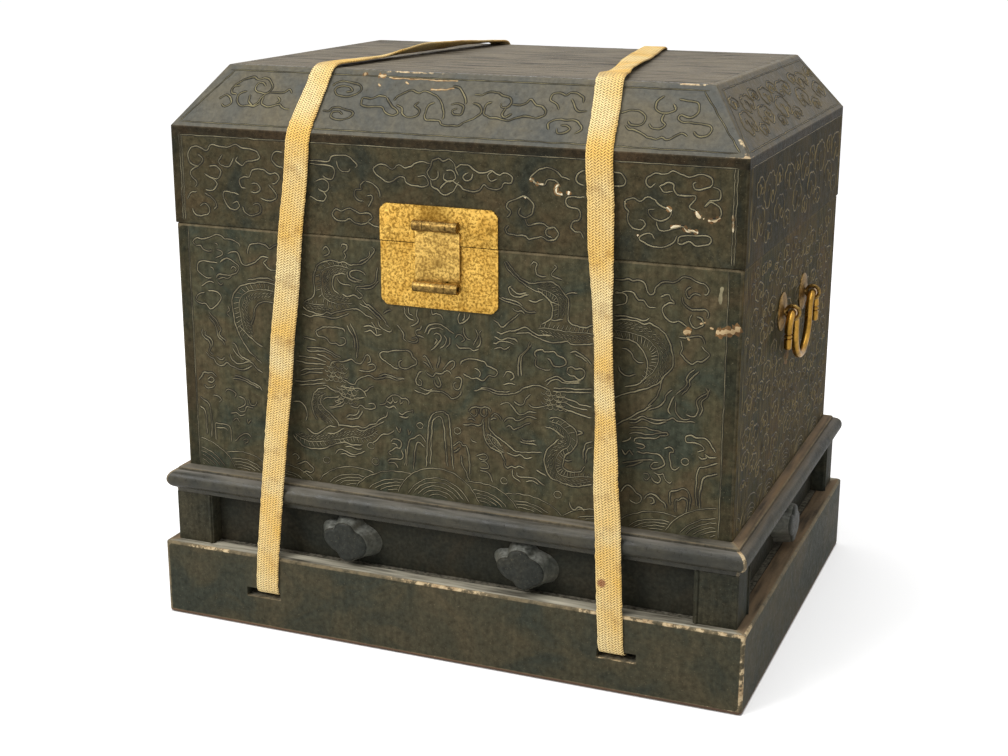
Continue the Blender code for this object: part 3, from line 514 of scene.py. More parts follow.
# The moulding's nose with the step below it, and the quirk between nose and ledge as (out, below the top)
NOSE_RADIUS = 0.0092
NOSE_START, NOSE_TURN, NOSE_STEPS = -75, 160, 12
STEP_GAP = 0.0015
QUIRK_FOOT, QUIRK_HEAD = (0.0091, 0.0054), (0.0083, 0.0024)

SLOT_LIP = 0.0025
SLOPE_WRAP = 0.0030
SHOULDER_BAND = 0.0088
POST_BEAD = 0.0030


def rounded_profile(corners):
    """Profile points (out, up, wear, finish) of a polygon of (out, up, radius, finish) corners.

    A corner with a radius becomes an arc held between two unworn points, and the arc is worn unless it is
    tighter than the kept radius; finish is the material of the stretch that follows the corner.
    """
    points = []
    for index, (out, up, radius, finish) in enumerate(corners):
        here = Vector((out, up))
        before = Vector(corners[index - 1][:2]) - here
        after = Vector(corners[(index + 1) % len(corners)][:2]) - here
        last_finish = corners[index - 1][3]
        if radius <= 0:
            points.append((out, up, 0.0, finish))
            continue
        reach = radius / math.tan(before.angle(after) / 2)
        keep = min(reach + SUPPORT, before.length * 0.45)
        points.append((*(here + before.normalized() * keep), 0.0, last_finish))
        start = here + before.normalized() * reach
        end = here + after.normalized() * reach
        wear = 1.0 if radius > KEPT_RADIUS else 0.0
        for step in range(ARC_STEPS + 1):
            share = step / ARC_STEPS
            bend = start * (1 - share) ** 2 + here * 2 * share * (1 - share) + end * share ** 2
            points.append((*bend, wear, last_finish if step < ARC_STEPS else finish))
        keep = min(reach + SUPPORT, after.length * 0.45)
        points.append((*(here + after.normalized() * keep), 0.0, finish))
    return points


def rail(name, side, corners, half, plan_radius, finishes, body, node_name, stops=(), corner_wear=1.0):
    """One side's board: its profile swept from mitre to mitre, with half of each rounded corner."""
    outward, along = SIDES[side]
    reach, span = (half.y, half.x) if outward.y else (half.x, half.y)
    profile = rounded_profile(corners)
    turns = [math.pi / 4 * (1 - step / PLAN_STEPS) for step in range(PLAN_STEPS + 1)]
    sections = [(-1, turn, 0.0, 1.0) for turn in turns] + [(-1, 0.0, SUPPORT, 0.0)]
    sections += [(0, 0.0, stop, 0.0) for stop in sorted(stops)]
    sections += [(1, 0.0, SUPPORT, 0.0)] + [(1, turn, 0.0, 1.0) for turn in reversed(turns)]
    columns = len(profile)
    bm = wrapped_grid(columns, len(sections))
    wear = bm.verts.layers.float.new("wear")
    for index, vert in enumerate(bm.verts):
        row, column = divmod(index, columns + 1)
        end, turn, shift, section_wear = sections[row]
        out, up, profile_wear, _ = profile[column % columns]
        push = reach + out
        slide = shift
        if end:
            push += plan_radius * (math.cos(turn) - 1)
            slide = end * (span + out - plan_radius * (1 - math.sin(turn)) - shift)
        place = outward * push + along * slide
        vert.co = (place.x, place.y, up)
        vert[wear] = max(profile_wear, corner_wear * section_wear)
    for index, face in enumerate(bm.faces):
        face.material_index = profile[index % columns][3]
    close_tube(bm)
    if stops:
        open_slots(bm)
    return new_piece(name, bm, finishes, body, [node_name])


def open_slots(bm):
    """Cut the strap slots through a plinth board: drop the faces over each slot and bridge the two rims."""
    wear = bm.verts.layers.float["wear"]
    for middle in SLOT_MIDDLES:
        low, high = middle - SLOT_WIDTH / 2, middle + SLOT_WIDTH / 2
        covers = []
        for face in bm.faces:
            centre = face.calc_center_median()
            inside = low < centre.x < high and SLOT_LOW < centre.z < SLOT_TOP
            if inside and abs(face.normal.y) > MOSTLY:
                covers.append(face)
        bmesh.ops.delete(bm, geom=covers, context="FACES")
        rims = [edge for edge in bm.edges if edge.is_boundary]
        for edge in rims:
            for vert in edge.verts:
                if abs(abs(vert.co.y) - PLINTH_Y) < SEAM and vert.co.z < SLOT_TOP - SLOT_HEIGHT / 2:
                    vert[wear] = 1.0
        bmesh.ops.bridge_loops(bm, edges=rims)


def build_plinth():
    corners = [
        (0, 0, PLINTH_FOOT, 0),
        (0, SLOT_LOW - SLOT_LIP, 0, 0),
        (0, SLOT_LOW, 0, 0),
        (0, SLOT_TOP, 0, 0),
        (0, PLINTH_TOP, PLINTH_EDGE, 2),
        (-PLINTH_BOARD, PLINTH_TOP, PLINTH_BACK, 1),
        (-PLINTH_BOARD, SLOT_TOP, 0, 1),
        (-PLINTH_BOARD, SLOT_LOW, 0, 1),
        (-PLINTH_BOARD, 0, PLINTH_BACK, 1),
    ]
    half_slot = SLOT_WIDTH / 2
    edges = (-half_slot - SUPPORT, -half_slot, half_slot, half_slot + SUPPORT)
    cuts = [middle + edge for middle in SLOT_MIDDLES for edge in edges]
    for side, (_, along) in SIDES.items():
        long = side in LONG_SIDES
        stops = [along.x * cut for cut in cuts] if long else ()
        finishes = [BASE_LACQUER, WOOD, LEDGE_LACQUER if long else LEDGE_END_LACQUER]
        rail(f"plinth_{side}_lacquered", side, corners, PLINTH_HALF, PLINTH_PLAN, finishes, "chest",
             f"plinth_{side}_board", stops)


def build_moulding():
    """Sloping ledge, quirk, half-round nose and a plain step over the posts."""
    nose_out = MOULDING_Y - BODY_Y - NOSE_RADIUS
    step_out = POST_HIGH.x - BODY_X
    angles = [math.radians(NOSE_START + NOSE_TURN * step / NOSE_STEPS) for step in range(NOSE_STEPS + 1)]
    nose = [(nose_out + NOSE_RADIUS * math.cos(angle), NOSE_Z + NOSE_RADIUS * math.sin(angle), 0, 0)
            for angle in angles]
    corners = [
        (SEAM, MOULDING_BOTTOM, 0, 0),
        (step_out, MOULDING_BOTTOM, STEP_EDGE, 0),
        (step_out, nose[0][1] - STEP_GAP, 0, 0),
        *nose,
        (QUIRK_FOOT[0], MOULDING_TOP - QUIRK_FOOT[1], 0, 1),
        (QUIRK_HEAD[0], MOULDING_TOP - QUIRK_HEAD[1], LEDGE_EDGE, 1),
        (SEAM, MOULDING_TOP, 0, 0),
    ]
    for side in SIDES:
        long = side in LONG_SIDES
        finishes = [NOSE_LACQUER, RAIL_LEDGE_LACQUER] if long else [NOSE_END_LACQUER, LEDGE_END_LACQUER]
        rail(f"moulding_{side}_lacquered", side, corners, BODY_HALF, MOULDING_PLAN, finishes, "chest",
             f"moulding_{side}_rail")


def build_body_walls():
    corners = [
        (0, BODY_BOTTOM, 0, 0),
        (0, RIM_Z, RIM_EDGE, 0),
        (-LIP_INSET, RIM_Z, 0, 1),
        (-LIP_INSET, BODY_TOP, LIP_EDGE, 1),
        (-BODY_WALL, BODY_TOP, LIP_EDGE, 1),
        (-BODY_WALL, BODY_BOTTOM, 0, 0),
    ]
    for side in SIDES:
        walled = BODY_LACQUER if side in LONG_SIDES else BODY_END_LACQUER
        rail(f"body_{side}_lacquered", side, corners, BODY_HALF, BODY_PLAN, [walled, WOOD], "chest",
             f"body_{side}_wall", corner_wear=CORNER_WEAR)


def build_lid():
    band_top, inner = SHOULDER_Z - SLOPE_WRAP, -HIP_INSET - 2 * SLOPE_WRAP
    skirt = [
        (0, LID_BOTTOM, SKIRT_EDGE, 0),
        (0, SHOULDER_Z - SHOULDER_BAND, 0, 2),
        (0, band_top - SEAM, 0, 2),
        (-LID_WALL, band_top - SEAM, 0, 1),
        (-LID_WALL, LID_BOTTOM, SKIRT_EDGE, 0),
    ]
    slope = [
        (0, band_top, 0, 2),
        (0, SHOULDER_Z, SHOULDER_EDGE, 0),
        (-HIP_INSET, TOP_Z, TOP_EDGE, 0),
        (inner, TOP_Z, 0, 1),
        (inner, TOP_UNDER, 0, 1),
        (-HIP_INSET, TOP_UNDER, 0, 1),
        (-LID_WALL, band_top, 0, 1),
    ]
    for side in SIDES:
        long = side in LONG_SIDES
        skirted, sloped = (LID_LACQUER, SLOPE_LACQUER) if long else (LID_END_LACQUER, SLOPE_END_LACQUER)
        rail(f"lid_{side}_skirt_lacquered", side, skirt, LID_HALF, LID_PLAN, [skirted, WOOD, BAND_LACQUER],
             "lid", f"lid_{side}_skirt", corner_wear=CORNER_WEAR)
        rail(f"lid_{side}_slope_lacquered", side, slope, LID_HALF, LID_PLAN, [sloped, WOOD, BAND_LACQUER],
             "lid", f"lid_{side}_slope")
    inset = 2 * SLOPE_WRAP + SEAM
    size = Vector((2 * (TOP_X - inset), 2 * (TOP_Y - inset), TOP_Z - TOP_UNDER))
    bm = block(size, (0, 0, (TOP_Z + TOP_UNDER) / 2))
    ease(bm, bm.edges[:], TOP_EASE, 1)
    for face in bm.faces:
        face.material_index = 1 if face.normal.z < DOWNWARD else 0
    new_piece("lid_top_lacquered", bm, [TOP_LACQUER, WOOD], "lid", ["lid_top_panel"])


def build_posts():
    """Corner posts of the waist, with a round bead down the inner edge of each face."""
    size = POST_HIGH - POST_LOW
    middle = (POST_HIGH + POST_LOW) / 2
    for y_name, y_sign in (("front", -1), ("rear", 1)):
        for x_name, x_sign in (("left", -1), ("right", 1)):
            spot = Vector((x_sign * middle.x, y_sign * abs(middle.y), middle.z))
            bm = block(size, spot)
            upright = [edge for edge in bm.edges if abs(edge.verts[0].co.z - edge.verts[1].co.z) > size.z / 2]
            ease(bm, upright, POST_EASE, 3)
            for axis, sign, other_sign in ((0, x_sign, y_sign), (1, y_sign, x_sign)):
                strip = bmesh.ops.create_cone(bm, cap_ends=True, segments=16, radius1=POST_BEAD / 2,
                                              radius2=POST_BEAD / 2, depth=size.z)["verts"]
                edge_spot = spot.copy()
                edge_spot[axis] += sign * size.x / 2
                edge_spot[1 - axis] -= other_sign * (size.x / 2 - POST_BEAD)
                bmesh.ops.translate(bm, vec=edge_spot, verts=strip)
            name = f"corner_post_{y_name}_{x_name}"
            new_piece(f"{name}_lacquered", bm, [POST_LACQUER], "chest", [name])


build_plinth()
build_moulding()
build_body_walls()
build_lid()
build_posts()


# Pen work: strokes are lists of points in millimetres on a panel

PEN_STEP = 1.7
THREAD_RADIUS = 0.70
FINE = 0.48
WAVE_RADIUS = 0.5
BORDER_RADIUS = 0.45
TREMBLE = 0.8
TREMBLE_PACE = 0.2
TREMBLE_SEED = 1
CURL_STEPS, CURL_DEGREES = 20, 450
LOBE_STEPS = 7

# Noise vectors, which make the lines tremble, start anew each run unless they are seeded
noise.seed_set(TREMBLE_SEED)


def smooth(points, step=PEN_STEP):
    """A curve without corners through the points."""
    points = [Vector(point) for point in points]
    ends = [points[0] * 2 - points[1], *points, points[-1] * 2 - points[-2]]
    line = []
    for before, start, end, after in zip(ends, ends[1:], ends[2:], ends[3:]):
        count = max(1, round((end - start).length / step))
        for index in range(count):
            share = index / count
            line.append(0.5 * (2 * start + (end - before) * share
                               + (2 * before - 5 * start + 4 * end - after) * share ** 2
                               + (3 * start - before - 3 * end + after) * share ** 3))
    return line + [points[-1]]


def offset(line, width):
    """The line moved to its right-hand side by width(share of its length)."""
    last = len(line) - 1
    moved = []
    for index, point in enumerate(line):
        run = (line[min(index + 1, last)] - line[max(index - 1, 0)]).normalized()
        moved.append(point + Vector((run.y, -run.x)) * width(index / last))
    return moved


def oval(u, v, half_u, half_v, start=0, end=360, step=PEN_STEP):
    span = math.radians(end - start)
    count = max(6, round(abs(span) * max(half_u, half_v) / step))
    angles = [math.radians(start) + span * index / count for index in range(count + 1)]
    return [Vector((u + half_u * math.cos(angle), v + half_v * math.sin(angle))) for angle in angles]


def curl(u, v, radius, start, turn):
    """A spiral that winds in by one and a quarter turns."""
    line = []
    for index in range(CURL_STEPS + 1):
        share = index / CURL_STEPS
        angle = math.radians(start + turn * share * CURL_DEGREES)
        reach = radius * (1 - 0.8 * share)
        line.append(Vector((u + reach * math.cos(angle), v + reach * math.sin(angle))))
    return line


class Drawing:
    """Strokes on one panel. What is drawn first lies in front and hides what is drawn later behind it."""

    def __init__(self, half_width, low, high):
        self.half_width, self.low, self.high = half_width, low, high
        self.strokes = []
        self.ovals = []

    def is_free(self, point):
        if abs(point.x) > self.half_width or not self.low < point.y < self.high:
            return False
        for u, v, half_u, half_v in self.ovals:
            if ((point.x - u) / half_u) ** 2 + ((point.y - v) / half_v) ** 2 < 1:
                return False
        return True

    def add(self, lines, ovals=(), radius=THREAD_RADIUS):
        for line in lines:
            run = []
            for point in line:
                if self.is_free(point):
                    run.append(point)
                    continue
                self.keep(run, radius)
                run = []
            self.keep(run, radius)
        self.ovals += ovals

    def keep(self, run, radius):
        if len(run) > 2:
            self.strokes.append((run, radius))

    def add_straight(self, start, end, count):
        """A border thread, drawn over everything."""
        self.strokes.append(([start.lerp(end, step / count) for step in range(count + 1)], BORDER_RADIUS))


def add_cloud(drawing, u, v, width, height, turn=1):
    """A cloud in one line: a hook inside, uneven lobes round the outside and a second hook at the foot.

    The hooks' points are shares of the cloud's half width and half height.
    """
    rng = random.Random(u * 31 + v)
    half_u, half_v = turn * width * 0.43, height * 0.40
    weights = [rng.uniform(0.55, 1.7) for _ in range(max(5, round((width + height) / 8)))]
    lobes = []
    reached = 0.0
    for weight in weights:
        breadth = weight / sum(weights)
        for step in range(LOBE_STEPS):
            angle = math.radians(-80 + 325 * (reached + breadth * step / LOBE_STEPS))
            bulge = 1 + min(0.26, 1.1 * breadth) * math.sin(math.pi * step / LOBE_STEPS)
            lobes.append(Vector((u + half_u * math.cos(angle) * bulge, v + half_v * math.sin(angle) * bulge)))
        reached += breadth

    def inside(*places):
        return [Vector((u + half_u * x, v + half_v * y)) for x, y in places]

    reach = rng.uniform(0.8, 1.15)
    hook = inside((0.34, -0.02), (0.22 * reach, 0.34), (-0.06, 0.22), (-0.05, -0.25), (0.06, -0.7))
    foot = inside((-0.26, -0.62), (-0.34 * reach, -0.22), (-0.6, -0.16), (-0.6, -0.46))
    lines = [smooth(hook + [lobes[0]]), lobes, smooth([lobes[-1]] + foot)]
    if width > 1.9 * height:
        lines.append(curl(u + half_u * 0.55, v, abs(half_v) * 0.5, 60, turn))
    drawing.add(lines, [(u, v, width * 0.5, height * 0.47)])


def add_serpent(drawing, path, width, back):
    """The skin of a length of dragon: ribs on the belly side and scales on the back side."""
    line = smooth(path, 2.0)
    last = len(line) - 1

    def girth(share):
        return width / 2 * min(1.0, 0.5 + 4 * min(share, 1 - share))

    spine = offset(line, lambda share: back * girth(share))
    belly_edge = offset(line, lambda share: -back * girth(share))
    belly = offset(line, lambda share: -back * 0.25 * girth(share))
    ribs = [smooth([belly[index], belly[index].lerp(belly_edge[index + 1], 0.6), belly_edge[index + 1]])
            for index in range(1, last - 1, 2)]
    scales = []
    for index in range(1, last - 2):
        inner, outer = (0.05, 0.45) if index % 2 else (0.45, 0.88)
        root, tip = line[index].lerp(spine[index], inner), line[index].lerp(spine[index], outer)
        crest = line[index + 2].lerp(spine[index + 2], (inner + outer) / 2)
        scales.append([root, (root + crest) / 2 + (crest - root) * 0.15, crest, tip])
    drawing.add([belly] + ribs + scales, radius=FINE)
    drawing.ovals += [(point.x, point.y, width / 2, width / 2) for point in line[1:last]]


def add_cheek(drawing, u, v, facing):
    """The scaly cheek of a head: four rows of five, every second row shifted by half a scale."""
    scales = []
    for row in range(4):
        for column in range(5):
            x, y = -20 + 4.6 * column + 2.3 * (row % 2), -8 + 4.4 * row
            scales.append(oval(u + facing * x, v + y, 2.1, 2.1, 180, 360 + 180 * (column % 2), 1.0))
    drawing.add(scales, radius=FINE)


def add_waves(drawing, fans):
    """Overlapping fans of arcs, the ones in front first: (u, v, half width, height)."""
    shares = (1.0, 0.78, 0.69, 0.60, 0.51, 0.42, 0.33)
    for u, v, half_u, half_v in fans:
        arcs = [oval(u, v, half_u * share, half_v * share, 0, 180) for share in shares]
        drawing.add(arcs, [(u, v, half_u, half_v)], WAVE_RADIUS)


def add_rings(drawing, places, radius):
    drawing.add([oval(u, v, radius, radius * 0.9) for u, v in places],
                [(u, v, radius, radius) for u, v in places], WAVE_RADIUS)


def fill_gaps(drawing, seed):
    """Small clouds wherever there is still room, the larger ones first."""
    rng = random.Random(seed)
    for size in (30, 24, 19, 15, 12):
        for _ in range(260):
            u = rng.uniform(-drawing.half_width, drawing.half_width)
            v = rng.uniform(drawing.low, drawing.high)
            spots = oval(u, v, size * 0.56, size * 0.36, step=4) + [Vector((u, v))]
            spots += oval(u, v, size * 0.3, size * 0.2)
            if all(drawing.is_free(spot) for spot in spots):
                add_cloud(drawing, u, v, size, size * 0.6, rng.choice((-1, 1)))


# Dragons, pearl, clouds, rocks and spray drawn on the front of the body
BODY_LINES = (
    ((-17, 184), (-14.5, 216), (-13, 229), (-8, 237), (-2, 239.5), (4, 238), (7, 231), (10.5, 185)),
    ((-12.5, 187), (-11, 216), (-9.5, 229), (-5, 234), (-1, 233.5), (1, 227), (5, 187)),
    ((-37, 182), (-36, 196), (-33, 208), (-28, 211.5), (-23, 214.5), (-17, 208)),
    ((-30, 180), (-27, 204), (-23, 206.5), (-18, 203)),
    ((10, 208), (16.5, 212.5), (20, 210), (25, 207.5), (27.5, 183)),
    ((11, 202), (14, 204), (18, 206.5)),
    ((18, 200), (20, 190), (24, 183), (27, 175)),
    ((-53, 204), (-50, 207), (-45, 207), (-41.5, 204), (-43, 199), (-48, 198.5), (-55, 193), (-52, 191)),
    ((-52, 202), (-48, 202.5), (-46, 200)),
    ((-57, 184), (-53, 187), (-43, 188), (-40, 192), (-42, 197)),
    ((-56, 182.5), (-51, 184), (-47, 182), (-46, 179)),
    ((-38, 199), (-37.5, 190), (-39, 182)),
    ((33, 201), (41, 204.5), (44, 202), (43, 199), (38, 198), (36, 200)),
    ((38, 196), (42, 197), (45, 195), (45.5, 191), (37, 190.5)),
    ((37, 188), (46, 186), (50, 178)),
    ((-64, 239), (-58, 240), (-56, 245), (-50, 249.5), (-45, 249.5), (-41, 247), (-37, 248), (-34, 245),
     (-34, 242)),
    ((-57, 244), (-53, 241), (-50, 245)),
    ((-51, 248), (-48, 242), (-45, 245)),
    ((-43, 247), (-42, 242), (-39, 245)),
    ((-58, 238), (-53, 237), (-49, 239), (-46, 236)),
    ((-44, 234), (-40, 232), (-36, 235), (-30, 237), (-30, 234)),
    ((-43, 230), (-38, 229), (-34, 231)),
    ((-47, 220), (-44, 214), (-42, 219)),
    ((-35, 219), (-34, 213), (-32, 217)),
    ((26, 242), (28, 245.5), (33, 248), (38, 247.5), (42, 249), (47, 248), (48, 244)),
    ((27, 242), (32, 239), (35, 242), (34, 246)),
    ((38, 248), (38, 243), (41, 240), (44, 243), (43, 248)),
    ((48, 240), (52, 244), (57, 241), (58, 238.5)),
    ((47, 237), (50, 239.5), (54, 239)),
    ((20, 229.5), (29, 231), (34, 230), (38, 232.5), (41, 238)),
    ((24, 235), (29, 237), (33, 235)),
    ((46, 240), (47, 228), (62, 217.5), (73, 211), (97, 213)),
    ((40, 236), (41.5, 221), (47, 212), (57, 207.5), (62, 198)),
    ((44, 224), (53, 219.5), (58, 214)),
    ((28, 218), (30, 215), (34, 214)),
    ((61, 199), (61, 196), (64, 194), (68, 196), (72, 195), (76, 197), (81, 195)),
    ((69, 193), (70, 187), (77, 182)),
    ((73, 191), (75, 187), (90, 187.5), (100, 182)),
    ((82, 183), (88, 184.5), (95, 182)),
    ((77, 224), (81, 221.5), (91, 223)),
    ((76, 221), (82, 219.5), (88, 220), (92, 219)),
    ((63, 209), (70, 206), (76, 208), (82, 205), (88, 207)),
    ((92, 196), (97, 193.5), (102, 191)),
    ((57, 253), (60, 255), (66, 255), (74, 246.5), (79, 246), (84, 249), (92, 250)),
    ((60, 237), (64, 241), (69, 242), (74, 240), (84, 245), (92, 244)),
    ((62, 232.5), (66, 234), (70, 231.5), (75, 233.5), (86, 240)),
    ((31, 263), (42, 265.5), (55, 262.5), (70, 265)),
    ((38, 266), (44, 267), (58, 265), (66, 267)),
    ((70, 265), (75, 267), (80, 271), (92, 275), (104, 272)),
    ((70, 258), (75, 255), (80, 257), (82, 262), (86, 266)),
    ((84, 257), (90, 254), (104, 258)),
    ((100, 237.5), (107, 236.5), (119, 229)),
    ((104, 246), (113, 247), (128, 238), (130.5, 230), (129, 223), (125, 217.5), (120, 213.5), (117, 205),
     (119, 200), (126, 198), (134, 200), (138, 205)),
    ((113, 227), (102, 216), (100, 206), (102, 196), (108, 189.5), (127, 185), (145, 189)),
    ((130, 233), (135.5, 236), (130.5, 237.5)),
    ((136, 211), (138, 225), (145, 229)),
    ((139, 208), (139.5, 218), (141.5, 222), (145, 224)),
    ((118, 209), (122, 208), (126, 210)),
    ((124.5, 170), (124.5, 166), (127, 163), (130, 163), (132, 165.5), (136, 165.5), (138.5, 163)),
    ((60, 384), (69, 373), (88, 361), (96, 359), (105, 352), (113, 350)),
    ((62.5, 385), (72, 374), (84, 367), (100, 369.5), (108, 368.5), (119, 358), (121, 351), (121, 336),
     (134, 332), (144, 335)),
    ((104, 353), (106, 346), (105, 338), (96, 331)),
    ((104, 336), (109, 335.5), (116, 337.5)),
    ((118, 360), (123, 362), (129, 362)),
    ((54, 354), (58, 350), (74, 346), (82, 341), (91, 341.5)),
    ((57, 352), (72, 349), (78, 346)),
    ((68, 363), (64.5, 361), (66, 357), (72, 353.5), (84, 356.5)),
    ((66, 361.5), (70, 358), (75, 356.5), (82, 358)),
    ((84, 352), (89, 350), (97, 354)),
    ((68, 343), (72, 340.5), (77, 341.5), (81, 338)),
    ((85, 383), (88, 386), (91.5, 384.5), (90, 380), (91, 376), (95, 374), (100, 374.5)),
    ((107, 384.5), (109, 382.5), (104.5, 376), (115, 372)),
    ((50, 330), (55, 328), (57, 325.5), (62, 327), (75, 339)),
    ((60, 319), (65, 322), (70, 322.5), (81, 327), (91, 321.5), (105, 321.5)),
    ((72, 320), (84, 322), (89, 319.5), (106, 315.5), (120, 318), (125, 315.5), (144, 318)),
    ((53, 320), (58, 318.5), (62, 320.5)),
    ((51, 315), (58, 313), (63, 315), (70, 315), (74, 313)),
    ((50, 309.5), (53, 309), (56, 311.5), (64, 312), (70, 310.5)),
    ((51, 304), (56, 306), (61, 304.5), (66, 308)),
    ((85, 314), (83, 308), (75, 298), (74, 281)),
    ((87, 312), (77.5, 299), (77, 282)),
    ((91, 300), (89.5, 304), (92, 307), (97, 308), (99, 306), (108, 307.5), (111, 305), (118, 302),
     (119.5, 299), (117, 296), (108, 294), (104, 299.5), (101, 300.5)),
    ((91, 300), (90, 296), (91.5, 292), (100, 289.5), (105, 291)),
    ((120, 290), (121, 294), (125, 295.5), (128, 293.5), (132, 294.8), (136, 293), (136.5, 289.5),
     (134, 286), (130, 285), (127, 287.5), (123, 287), (120, 290)),
    ((122, 308), (128, 309.5), (138, 304), (143, 299)),
    ((127, 307), (133, 305), (139, 301)),
    ((99, 279), (110, 285), (120, 281.5), (133, 284)),
    ((101, 276), (106, 281), (112, 282.5), (118, 280), (133, 281.5)),
    ((107, 274), (117, 275), (144, 277)),
    ((107, 271), (120, 272), (144, 274)),
    ((109, 266), (120, 266), (136, 261.5), (144, 261)),
    ((110, 262), (120, 261.5), (130, 258.5), (140, 257.5)),
    ((109, 258), (136, 252), (144, 251)),
    ((162, 377), (168, 377), (174, 378.5), (179, 377.5), (185, 378), (189, 375.5), (192, 368), (195, 366.5),
     (198, 369), (198, 373), (206, 379), (214, 378.5), (221, 383.5), (226, 384.5), (236, 380.5),
     (241, 379.5), (245, 376), (244, 371.5), (240, 371)),
    ((162, 365), (173, 367.5), (179, 367), (184, 361), (188, 361.5), (193, 356), (199, 356)),
    ((162, 366), (170, 366), (173, 363), (173, 358.5), (170, 356), (163, 354.5)),
    ((230, 376.5), (226, 374), (225, 370), (228, 366.5), (232, 371), (238, 370)),
    ((203, 365.5), (210, 368), (212, 365), (216, 361), (210, 360.5), (204.5, 354), (211, 345), (216, 344.5),
     (220, 346), (227, 341.5)),
    ((222, 367), (223, 362.5), (230, 357), (242, 358), (245, 355), (244, 350)),
    ((231, 353), (229, 348), (231, 343), (236, 341.5), (241, 345), (239, 350), (235, 351)),
    ((222, 330), (223.5, 322), (222.5, 318), (229, 311), (233, 309.5), (237, 313), (241, 312.5), (247, 319),
     (240, 326)),
    ((220, 332), (226, 332), (237, 334.5), (242, 332), (243, 328)),
    ((235, 306), (228, 297), (229, 291), (219, 281)),
    ((239, 304), (231, 295), (231.5, 290), (224, 281)),
    ((245, 290), (247, 286), (239, 280), (238, 274), (239.5, 268), (236, 263.5), (229, 264)),
    ((249, 289), (246, 282), (242, 277), (243, 270), (241, 264)),
    ((219, 275), (219, 268), (222, 262), (227, 259.5), (233, 261)),
    ((162, 345), (172, 346), (189, 343.5), (194, 346)),
    ((162, 341), (172, 343), (182, 342.5), (190, 340.5), (196, 341.5), (210, 331), (216, 312), (215, 304),
     (209, 297), (204, 290), (194, 284), (170, 275), (163, 271)),
    ((162, 326), (179, 324.5), (187, 319), (192, 311), (193.5, 301), (190, 291), (182, 285), (173, 283)),
    ((167, 301), (170, 295), (176, 293), (183, 296)),
    ((170, 317), (175, 316.5), (179, 313), (181, 309), (185, 306), (190, 306.5)),
    ((207, 296), (203, 279), (195, 268)),
    ((216, 285), (211, 280), (209, 274), (205, 269), (195, 264)),
    ((218, 280), (213, 268), (215, 263)),
    ((163, 247), (170, 250), (199, 269)),
    ((178, 254), (184, 255), (190, 258), (196, 256.5), (210, 257), (217, 259.5), (223, 257.5),
     (237, 258.5)),
    ((178, 251), (185, 252), (190, 256), (197, 253.5), (204, 253), (212, 256)),
    ((178, 246), (190, 248), (206, 246), (212, 246), (214, 244), (212, 242.5)),
    ((178, 240), (183, 242.5), (198, 242.5), (208, 245.5)),
    ((183, 234), (186, 238), (203, 239.5), (206, 242.5), (212, 243)),
    ((172, 233), (177, 234.5), (180, 238)),
    ((184, 233), (189, 233), (193, 231), (190, 229), (185, 229)),
    ((186, 226), (191, 224.5), (197, 226), (208, 223.5), (211, 216), (203, 211.5), (199, 213), (201, 217),
     (206, 218)),
    ((172, 213), (193, 218.5), (201, 219)),
    ((176, 210), (185, 213.5), (192, 217)),
    ((172, 226), (176, 221), (179, 226), (183, 221)),
    ((192, 203), (195, 200.5), (198, 203), (196, 206), (192, 206)),
    ((199, 205), (202, 200), (206, 199), (208, 202), (205, 206)),
    ((201, 208), (206, 206.5), (210, 208), (212, 204), (216, 200), (218, 202)),
    ((211, 231), (215, 233.5), (219, 231), (219, 228.5), (215, 228), (217, 216), (220, 213), (225, 216)),
    ((256, 233), (248, 244), (238, 244.5), (234, 246), (230, 244.5), (230, 240), (241, 239.5), (246, 235),
     (240, 232)),
    ((241, 228), (244, 226), (248, 228), (247, 231), (251, 228), (257, 229)),
    ((241, 182), (240, 196), (241, 216), (247, 219), (260, 225)),
    ((244, 180), (243.5, 194), (247, 209), (259, 214.5)),
    ((217, 180), (217, 192), (223, 194), (229, 197), (235, 191.5), (235, 178)),
    ((222, 174), (222, 185), (225, 185.5), (229, 188.5), (233, 184.5), (232, 174)),
    ((172, 186), (175, 191), (179, 193), (183, 191), (186, 187), (190, 185), (191, 181), (188, 178),
     (183, 177.5), (180, 180)),
    ((194, 182), (196, 186), (200, 188), (205, 187), (208, 183), (212, 181), (214, 176)),
    ((197, 184), (201, 184), (203, 181), (199, 179)),
    ((-254, 374), (-257, 377), (-253, 381), (-244, 381), (-230, 386), (-225, 385), (-222, 382), (-217, 383),
     (-207, 379.5), (-206, 376)),
    ((-254, 374), (-249, 374.5), (-246, 371), (-241, 369.5), (-236, 370)),
    ((-234, 378), (-231, 377), (-230, 374.5)),
    ((-232, 371.5), (-227, 371), (-225, 368), (-233, 363)),
    ((-198, 370), (-197, 376), (-193, 380), (-181, 381), (-174, 377), (-169, 380), (-160, 382)),
    ((-220, 369), (-214, 371), (-208, 369.5), (-203, 359), (-190, 363), (-183, 368.5), (-176, 368)),
    ((-228, 360), (-222, 364), (-217, 363.5), (-209, 358), (-209, 353), (-218, 348), (-230, 348),
     (-233, 344)),
    ((-217, 354), (-214, 357), (-211, 354.5), (-213, 352)),
    ((-231, 359), (-250, 359), (-253, 350), (-244, 343.5), (-238, 344)),
    ((-240, 354), (-237, 353.5), (-236, 351)),
    ((-231, 343), (-226, 345), (-220, 345), (-216, 348)),
    ((-232, 341), (-229, 338), (-226, 340)),
    ((-250, 335), (-241, 340), (-236, 339)),
    ((-243, 331), (-234, 331), (-229, 327), (-230, 322), (-240, 313.5), (-246, 317.5), (-252, 318),
     (-257, 321), (-253, 327), (-247, 329)),
    ((-177, 367), (-181, 364), (-179, 360), (-174, 357), (-168, 357)),
    ((-168, 342.5), (-182, 344.5), (-203, 340), (-212, 334), (-217, 324), (-214, 300), (-203, 279),
     (-187, 265)),
    ((-170, 347), (-182, 348.5), (-200, 345)),
